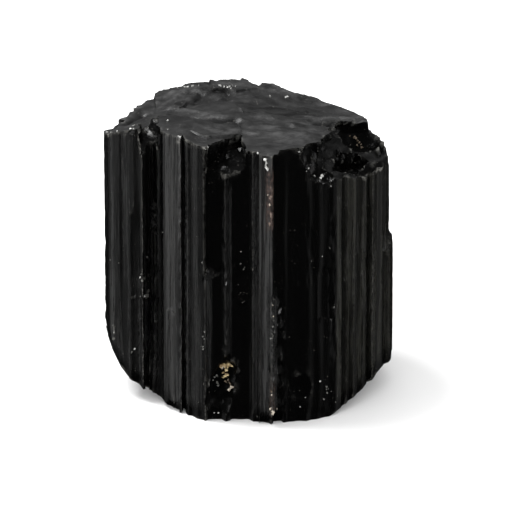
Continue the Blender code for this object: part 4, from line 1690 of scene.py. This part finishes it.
        # Painted shade where a point lies lower than its neighbours.
        masks[Mask.HOLLOW_SHADE] = np.clip((-sharp - self.hollow_from) * self.hollow_gain, 0.0, 1.0)
        # The bloom's painted sheen is strongest where the surface faces up.
        masks[Mask.BLOOM] = np.clip(normals[:, 2], 0.0, 1.0) * self.bloom_and_sheen_levels(points)
        for mask, values in masks.items():
            layer = mesh.attributes.new(mask.value, "FLOAT", "POINT")
            layer.data.foreach_set("value", values.astype(np.float32))
        mesh.materials.clear()
        for finish in FINISHES:
            mesh.materials.append(finish.material())
        for face in mesh.polygons:
            found = [breaks[i] for i in face.vertices]
            share = sum(kind > Break.WALL for kind in found) / len(found)
            face.material_index = max(found) if share > self.broken_share else Break.WALL

    def patch_masks(self, points: np.ndarray) -> dict[Mask, np.ndarray]:
        """Returns the painted sheen, olive and stain at each point, with the sheen faded out near
        the foot's rim, which paints shade there.
        """
        masks = {mask: np.zeros(len(points)) for mask in (Mask.PAINTED_SHEEN, Mask.OLIVE, Mask.STAIN)}
        for i, (x, y, z) in enumerate(points.tolist()):
            angle, edge = angle_of(x, y), 0.0
            if z < self.foot_to:
                edge = max(self.foot.height_at(x, y), self.foot.ground)
            # Painted shade near the floor: the sheen fades out just above the foot's rim.
            above = ramp(z - edge + 0.5 * rough(x * 0.8, y * 0.8, z), *self.foot_shade_rise)
            masks[Mask.PAINTED_SHEEN][i] = min(shares(self.painted_sheen, angle, z), 1.0) * above
            masks[Mask.OLIVE][i] = min(shares(self.olive, angle, z), 1.0)
            masks[Mask.STAIN][i] = min(shares(self.stain, angle, z), 1.0)
        return masks

    def wear_and_glint(
        self, mesh: bpy.types.Mesh, points: np.ndarray, breaks: list[Break], edges: np.ndarray
    ) -> np.ndarray:
        """Finds how worn each point is: strong in the chips and crushed along the rims.

        Args:
            mesh: The cut mesh.
            points: Its points.
            breaks: What each point lies on.
            edges: How sharp each point is, from 0 to 1.

        Returns:
            The wear with its painted glints, from 0 to 1.
        """
        rims = set()
        for face in mesh.polygons:
            if len({breaks[i] for i in face.vertices}) > 1:
                rims.update(face.vertices)
        found = np.zeros(len(points))
        for i, (x, y, z) in enumerate(points.tolist()):
            dulled = 1.0 - shares(self.polished, angle_of(x, y), z)
            wear_and_glint = edges[i] * (self.chip_wear_and_glint if breaks[i] == Break.CHIP else dulled)
            crushed = ramp(rough(x * 0.8, y * 0.8, z * 0.8), 0.0, 0.6) * ramp(z, *self.wear_and_glint_rise)
            rim = self.rim_wear_and_glint * crushed * dulled * (i in rims)
            found[i] = min(max(wear_and_glint, rim), 1.0)
        return found

    def bloom_and_sheen_levels(self, points: np.ndarray) -> np.ndarray:
        """Returns the bloom with its painted sheen at each point, which fades out down in the
        chips.
        """
        return np.array(
            [self.openness(x, y, z) * self.top.bloom_and_sheen_at(x, y) for x, y, z in points.tolist()]
        )

    def openness(self, x: float, y: float, z: float) -> float:
        """Returns 1 on the open top and 0 down in the chips."""
        high = z > self.top_from
        return ramp(z - self.top.height_at(x, y), -0.7, -0.2) if high else 0.0

    def breaks(self, points: np.ndarray, broken: BVHTree) -> list[Break]:
        """Finds which points lie on a broken surface.

        Args:
            points: The mesh's points.
            broken: The chips' surfaces.

        Returns:
            What each point lies on.
        """
        reach = self.broken_reach
        found = []
        for x, y, z in points.tolist():
            ended = z < self.foot.ground + 0.01
            ended |= z > self.top_from and abs(z - self.top.height_at(x, y)) < reach
            ended |= z < self.foot_to and abs(z - self.foot.height_at(x, y)) < reach
            spot = Vector((x, y, z)) * MM
            chipped = not ended and broken.find_nearest(spot, reach * MM)[0] is not None
            found.append(Break.CHIP if chipped else Break.END if ended else Break.WALL)
        return found

    @staticmethod
    def sharpness(mesh: bpy.types.Mesh, points: np.ndarray, normals: np.ndarray) -> np.ndarray:
        """Measures how far each point stands proud of its neighbours.

        Args:
            mesh: The mesh, for its edges.
            points: Its points.
            normals: Its normals.

        Returns:
            Positive values on ridges and negative ones in grooves.
        """
        ends = values_of(mesh.edges, "vertices", 2, np.int64)
        ends = np.concatenate([ends, ends[:, ::-1]])
        along = points[ends[:, 1]] - points[ends[:, 0]]
        length = np.maximum(np.linalg.norm(along, axis=1), 1e-9)
        rise = -(along * normals[ends[:, 0]]).sum(axis=1) / length
        total = np.bincount(ends[:, 0], rise, len(points))
        number = np.maximum(np.bincount(ends[:, 0], minlength=len(points)), 1)
        value = total / number
        spread = np.bincount(ends[:, 0], value[ends[:, 1]], len(points)) / number
        return 0.6 * value + 0.4 * spread

    def fit(self, mesh: bpy.types.Mesh) -> None:
        """Stands the mesh in the middle of the plain solid's box and holds it inside."""
        points = values_of(mesh.vertices, "co")
        low, high = (np.array(corner) for corner in CAD_BOX)
        middle = (points.min(axis=0) + points.max(axis=0) - low - high) / 2
        middle[2] = self.foot.ground * MM
        self.offset = Vector(-middle / MM)
        points = np.clip(points - middle, low, high)
        mesh.vertices.foreach_set("co", points.ravel())
        mesh.shade_smooth()
        mesh.set_sharp_from_angle(angle=math.radians(self.sharp_angle))
        mesh.update()

    def dress(self, crystal: bpy.types.Object) -> None:
        """Rides the surface on the body and lets it stand for the plain solid."""
        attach(crystal, BODY)
        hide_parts(NODE)


# The matrix grains, and grains that paint glints


class Side(Enum):
    """The side that a grain is set from, as the direction it is pressed in."""

    FRONT = (0.0, 1.0, 0.0)
    TOP = (0.0, 0.0, -1.0)
    SLANTED = (0.0, 0.92, -0.39)


@dataclass(frozen=True)
class GrainSpot:
    """A cluster of grains: where it is pressed in, how far it spreads and how large it is."""

    place: Pair
    count: int
    spread: Pair
    size: float
    side: Side = Side.FRONT


@dataclass
class GrainCluster:
    """Small grains of one kind, stuck in the crystal's hollows and on its ledges. Most are matrix
    grains; the pale ones and some of the grey ones paint glints.
    """

    name: str
    finish: GrainFinish
    seed: int
    spots: tuple[GrainSpot, ...]
    sunk: float = 0.30
    reach: float = 60.0
    corners: int = 9
    flatness: Triple = (1.0, 0.8, 0.65)
    lift: float = 0.6

    def build(self, surface: BVHTree, offset: Vector) -> bpy.types.Object:
        """Builds every grain where its ray meets the crystal.

        Args:
            surface: The crystal's surface, in millimetres.
            offset: How far the crystal was moved when it was centred.

        Returns:
            The grains as one object.
        """
        rng = random.Random(self.seed)
        bm = bmesh.new()
        for spot in self.spots:
            for _ in range(spot.count):
                a = spot.place[0] + rng.gauss(0.0, 0.45) * spot.spread[0]
                b = spot.place[1] + rng.gauss(0.0, 0.45) * spot.spread[1]
                size = spot.size * rng.uniform(0.55, 1.25)
                self.grain(bm, rng, surface, self.start(spot.side, a, b) + offset, spot.side, size)
        grains = make_object(self.name, bm)
        grains.data.materials.append(self.finish.material())
        return grains

    def start(self, side: Side, a: float, b: float) -> Vector:
        """Returns where a grain's ray starts, for the side and its two coordinates."""
        spot = (a, b, 0.0) if side is Side.TOP else (a, 0.0, b)
        return Vector(spot) - Vector(side.value) * self.reach

    def grain(
        self, bm, rng: random.Random, surface: BVHTree, start: Vector, side: Side, size: float
    ) -> None:
        """Adds one grain: a small block of a few random corners, partly sunk.

        Args:
            bm: The mesh that it is added to.
            rng: The source of its shape.
            surface: The crystal's surface.
            start: Where its ray starts.
            side: The side that it is pressed in from.
            size: Its width.
        """
        hit, normal, _, _ = surface.ray_cast(start, Vector(side.value))
        if hit is None:
            return
        turn = Euler([rng.uniform(0.0, math.tau) for _ in range(3)]).to_matrix()
        verts = []
        middle = hit + normal * size * (0.5 - self.sunk) * self.lift
        for _ in range(self.corners):
            corner = Vector([rng.gauss(0.0, 1.0) for _ in range(3)]).normalized()
            corner = turn @ (corner * Vector(self.flatness)) * size / 2
            verts.append(bm.verts.new(middle + corner))
        hull = bmesh.ops.convex_hull(bm, input=verts)
        loose = {v for v in hull["geom_interior"] if isinstance(v, bmesh.types.BMVert)}
        loose |= {v for v in verts if not v.link_faces}
        bmesh.ops.delete(bm, geom=list(loose), context="VERTS")

    def dress(self, grains: bpy.types.Object) -> None:
        """Rides the grains on the crystal's body."""
        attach(grains, BODY)


GOLD = GrainFinish("gold_grains", (0.45, 0.36, 0.19, 1.0), (0.17, 0.11, 0.05, 1.0), 0.42)
TAN = GrainFinish("tan_grains", (0.16, 0.125, 0.085, 1.0), (0.07, 0.05, 0.032, 1.0), 0.6)
CREAM = GrainFinish("cream_grains", (0.50, 0.45, 0.37, 1.0), (0.24, 0.20, 0.16, 1.0), 0.55)
# Grey grains: partly matrix crust, partly painted dim glints.
GREY_AND_GLINT = GrainFinish("grey_grains_and_glints", (0.12, 0.12, 0.11, 1.0), (0.045, 0.045, 0.040, 1.0), 0.30)
LUMP = GrainFinish("black_lumps", (0.020, 0.020, 0.019, 1.0), (0.004, 0.004, 0.004, 1.0), 0.22)
# Pale grains that paint glints: bright points on the ridge, rims and groove edges.
GLINT = GrainFinish("painted_glint_grains", (0.50, 0.50, 0.48, 1.0), (0.24, 0.24, 0.23, 1.0), 0.35)


def singles(size: float, *places: Pair, side: Side = Side.FRONT) -> tuple[GrainSpot, ...]:
    """Returns one grain at each of these places."""
    return tuple(GrainSpot(place, 1, (0.0, 0.0), size, side) for place in places)


CLUSTERS: tuple[GrainCluster, ...] = (
    GrainCluster("gold_matrix_grains", GOLD, 11, (
        GrainSpot((-2.95, 7.6), 8, (0.9, 0.5), 0.72),
        GrainSpot((-3.05, 6.2), 10, (0.35, 1.1), 0.66),
    )),
    GrainCluster("tan_matrix_grains", TAN, 12, (
        *singles(0.66, (-2.95, 5.0), (-2.4, 4.9), (-2.7, 5.3), (3.3, 4.9)),
        *singles(0.70, (14.9, 35.6), (15.3, 35.2), (15.8, 34.6), side=Side.SLANTED),
        *singles(0.55, (15.2, 34.3), (14.2, 35.9), (15.9, 34.1), (15.5, 34.9), side=Side.SLANTED),
    )),
    GrainCluster("cream_matrix_grains", CREAM, 13, (
        GrainSpot((3.25, 1.9), 4, (0.5, 0.4), 0.62),
        GrainSpot((-3.6, 7.3), 4, (0.5, 0.4), 0.55),
        GrainSpot((-2.27, 4.2), 4, (0.35, 0.35), 0.80),
        *singles(0.40, (4.0, 1.8), (3.3, 4.4), (3.3, 17.6), (3.4, 15.9)),
        *singles(0.45, (2.75, 33.6), (3.0, 32.2)),
    )),
    # Painted glints on the ridge's top, the notch, the back rim and the groove edges.
    GrainCluster("painted_glint_specks", GLINT, 14, (
        *singles(0.75, (2.4, 38.6), (2.5, 38.1), (2.4, 37.6), (2.6, 37.2)),
        *singles(0.55, (8.1, 36.2), (8.9, 34.9), (9.8, 34.6), (10.0, 34.8)),
        *singles(0.42, (11.2, 33.7), (1.4, 39.1), (6.9, 39.2), (-5.8, 39.6)),
        *singles(0.42, (-5.3, 39.5), (-5.6, 39.4), (7.9, 36.5)),
        GrainSpot((-8.0, 12.2), 13, (1.7, 0.35), 0.32, Side.TOP),
        GrainSpot((-3.4, 12.6), 18, (2.0, 0.40), 0.36, Side.TOP),
        *singles(0.50, (3.2, 11.1), (5.6, 12.6), (5.4, 12.2), (-2.3, 12.2), side=Side.TOP),
        *singles(0.46, (-19.1, -3.7), (-18.4, -5.6), (-17.7, -6.0), (-15.4, -4.9), side=Side.TOP),
        *singles(0.55, (-15.8, -6.6), (-15.4, -6.9), (-9.0, -12.0), (-9.2, -11.7), side=Side.TOP),
        *singles(0.42, (-10.7, -9.1), (-10.8, -5.2), (13.2, 1.7), (13.9, 0.8), side=Side.TOP),
        *singles(0.42, (-14.7, 18.3), (-14.2, 15.4), (-15.7, 7.1), (-18.5, 8.9)),
        *singles(0.28, (-0.9, 24.6), (10.1, 23.7), (7.9, 3.0), (9.9, 5.2)),
        *singles(0.34, (-4.6, 0.5), (-4.0, 0.5), (7.2, 1.7)),
    )),
    # Grey grains: crust on the ridge and the chip, and painted dim glints along the groove and
    # faces.
    GrainCluster("grey_matrix_grains_and_glints", GREY_AND_GLINT, 15, (
        GrainSpot((-14.4, 18.0), 7, (0.30, 2.4), 0.50),
        GrainSpot((-14.0, 15.0), 6, (0.35, 0.9), 0.62),
        GrainSpot((-18.6, 9.4), 5, (0.25, 1.6), 0.50),
        GrainSpot((-15.9, 6.6), 3, (0.5, 0.8), 0.50),
        GrainSpot((-0.8, 20.0), 5, (0.6, 9.0), 0.30),
        GrainSpot((-6.0, 12.0), 6, (0.3, 5.0), 0.36),
        GrainSpot((10.6, 3.2), 7, (1.6, 2.2), 0.42),
        GrainSpot((-4.3, 5.4), 9, (0.6, 2.6), 0.40),
        GrainSpot((3.4, 14.0), 9, (0.3, 5.5), 0.40),
        *singles(0.42, (-18.9, 19.6), (-17.7, 19.6), (-11.5, 25.6), (11.7, 15.9)),
        *singles(0.40, (8.6, 23.3), (11.1, 24.8), (1.3, 0.3), (-6.1, 23.0)),
    )),
    GrainCluster("black_tourmaline_lumps", LUMP, 16, (
        GrainSpot((-12.9, 27.2), 5, (0.5, 0.9), 1.1),
        GrainSpot((-12.6, 25.0), 6, (0.4, 1.4), 1.0),
        GrainSpot((-13.6, 19.0), 6, (0.4, 3.0), 0.8),
    ), sunk=0.42),
)  # fmt: skip


# Floor, lights and camera


@dataclass
class Studio:
    """The pale floor, the plain surroundings and the soft lamps."""

    floor_radius: float = 1500.0
    open_white: float = 1.0
    soft_white: float = 1.55
    low_dark: float = 0.004
    low_side: float = 0.13
    horizon: float = 0.20
    zenith: float = 0.05
    front: float = 0.06
    middle: Triple = (0.0, 0.0, 20.0)
    lamps: tuple[tuple[str, Triple, float, float], ...] = (
        ("key_lamp", (-250.0, 90.0, 600.0), 5.0, 0.28),
        ("left_lamp", (-620.0, -260.0, 160.0), 1.2, 0.35),
        ("right_lamp", (640.0, -120.0, 140.0), 0.8, 0.40),
    )

    def floor(self) -> bpy.types.Object:
        """Returns the floor, which reflections don't show."""
        bm = bmesh.new()
        bmesh.ops.create_circle(bm, cap_ends=True, segments=64, radius=self.floor_radius)
        floor = make_object("pale_floor", bm)
        floor.data.materials.append(FloorFinish().material())
        floor.visible_glossy = False
        return floor

    def surroundings(self) -> None:
        """Sets plain white surroundings, shaded for reflections.

        They are brightest low at the back, darker overhead and darkest low in front.
        """
        world = bpy.data.worlds.new("soft_studio")
        world.use_nodes = True
        bpy.context.scene.world = world
        graph = Graph(world.node_tree)
        ray = graph.node("ShaderNodeLightPath").outputs
        way = graph.node("ShaderNodeTexCoord").outputs["Generated"]
        axes = graph.node("ShaderNodeSeparateXYZ", {0: way}).outputs
        side = graph.span(graph.math("ABSOLUTE", axes["X"]), 0.60, 0.95)
        low = graph.blend(side, self.low_dark, self.low_side)
        high = graph.span(axes["Z"], 0.15, 0.90, self.horizon, self.zenith)
        high = graph.blend(graph.span(axes["Y"], -0.3, 0.5), self.front, high)
        shaped = graph.blend(graph.span(axes["Z"], -0.06, 0.14), low, high)
        light = graph.blend(ray["Is Glossy Ray"], self.soft_white, shaped)
        light = graph.blend(ray["Is Camera Ray"], light, self.open_white)
        background = world.node_tree.nodes["Background"]
        world.node_tree.links.new(light, background.inputs["Strength"])
        background.inputs["Color"].default_value = (1.0, 1.0, 1.0, 1.0)

    def lights(self) -> None:
        """Places the soft lamps, all turned to the crystal."""
        aim = Vector(self.middle) * MM
        for name, place, power, size in self.lamps:
            lamp = bpy.data.lights.new(name, "AREA")
            lamp.shape = "DISK"
            lamp.energy = power
            lamp.size = size
            holder = bpy.data.objects.new(name, lamp)
            bpy.context.scene.collection.objects.link(holder)
            holder.location = Vector(place) * MM
            holder.rotation_euler = (aim - holder.location).to_track_quat("-Z", "Y").to_euler()

    def build(self) -> None:
        """Builds the floor, the surroundings and the lamps."""
        self.floor()
        self.surroundings()
        self.lights()
        bpy.context.scene.view_settings.view_transform = "Standard"


@dataclass
class Viewpoint:
    """The camera: how high it looks from, how far away it is and what it aims at."""

    elevation: float = 23.0
    distance: float = 450.0
    focus: Triple = (0.0, 0.0, 20.5)
    aim: Triple = (1.18, 0.0, 17.8)
    lens: float = 227.04

    def build(self, offset: Vector) -> bpy.types.Object:
        """Places the camera.

        Args:
            offset: How far the crystal was moved when it was centred.

        Returns:
            The camera.
        """
        tilt = math.radians(self.elevation)
        forward = Vector((0.0, math.cos(tilt), -math.sin(tilt)))
        camera = bpy.data.cameras.new("camera")
        camera.lens = self.lens
        camera.clip_start = 0.01
        camera.clip_end = 10.0
        holder = bpy.data.objects.new("camera", camera)
        bpy.context.scene.collection.objects.link(holder)
        holder.location = (Vector(self.focus) + offset - forward * self.distance) * MM
        way = (Vector(self.aim) + offset) * MM - holder.location
        holder.rotation_euler = way.to_track_quat("-Z", "Y").to_euler()
        bpy.context.scene.camera = holder
        return holder


def surface_tree(obj: bpy.types.Object) -> BVHTree:
    """Returns a search tree of an object's mesh, in millimetres."""
    points = [v.co / MM for v in obj.data.vertices]
    faces = [tuple(f.vertices) for f in obj.data.polygons]
    return BVHTree.FromPolygons(points, faces)


def main() -> None:
    """Builds the crystal, its grains, the studio and the camera, in that order."""
    logging.basicConfig(level=logging.INFO, format="%(name)s: %(message)s")
    crystal = CrystalSurface()
    surface = crystal.build()
    crystal.dress(surface)
    log.info("%s built", surface.name)
    tree = surface_tree(surface)
    for cluster in CLUSTERS:
        grains = cluster.build(tree, crystal.offset)
        cluster.dress(grains)
        log.info("%s built, %d faces", grains.name, len(grains.data.polygons))
    Studio().build()
    Viewpoint().build(crystal.offset)
    log.info("floor, lamps and camera placed")


if __name__ == "__main__":
    main()
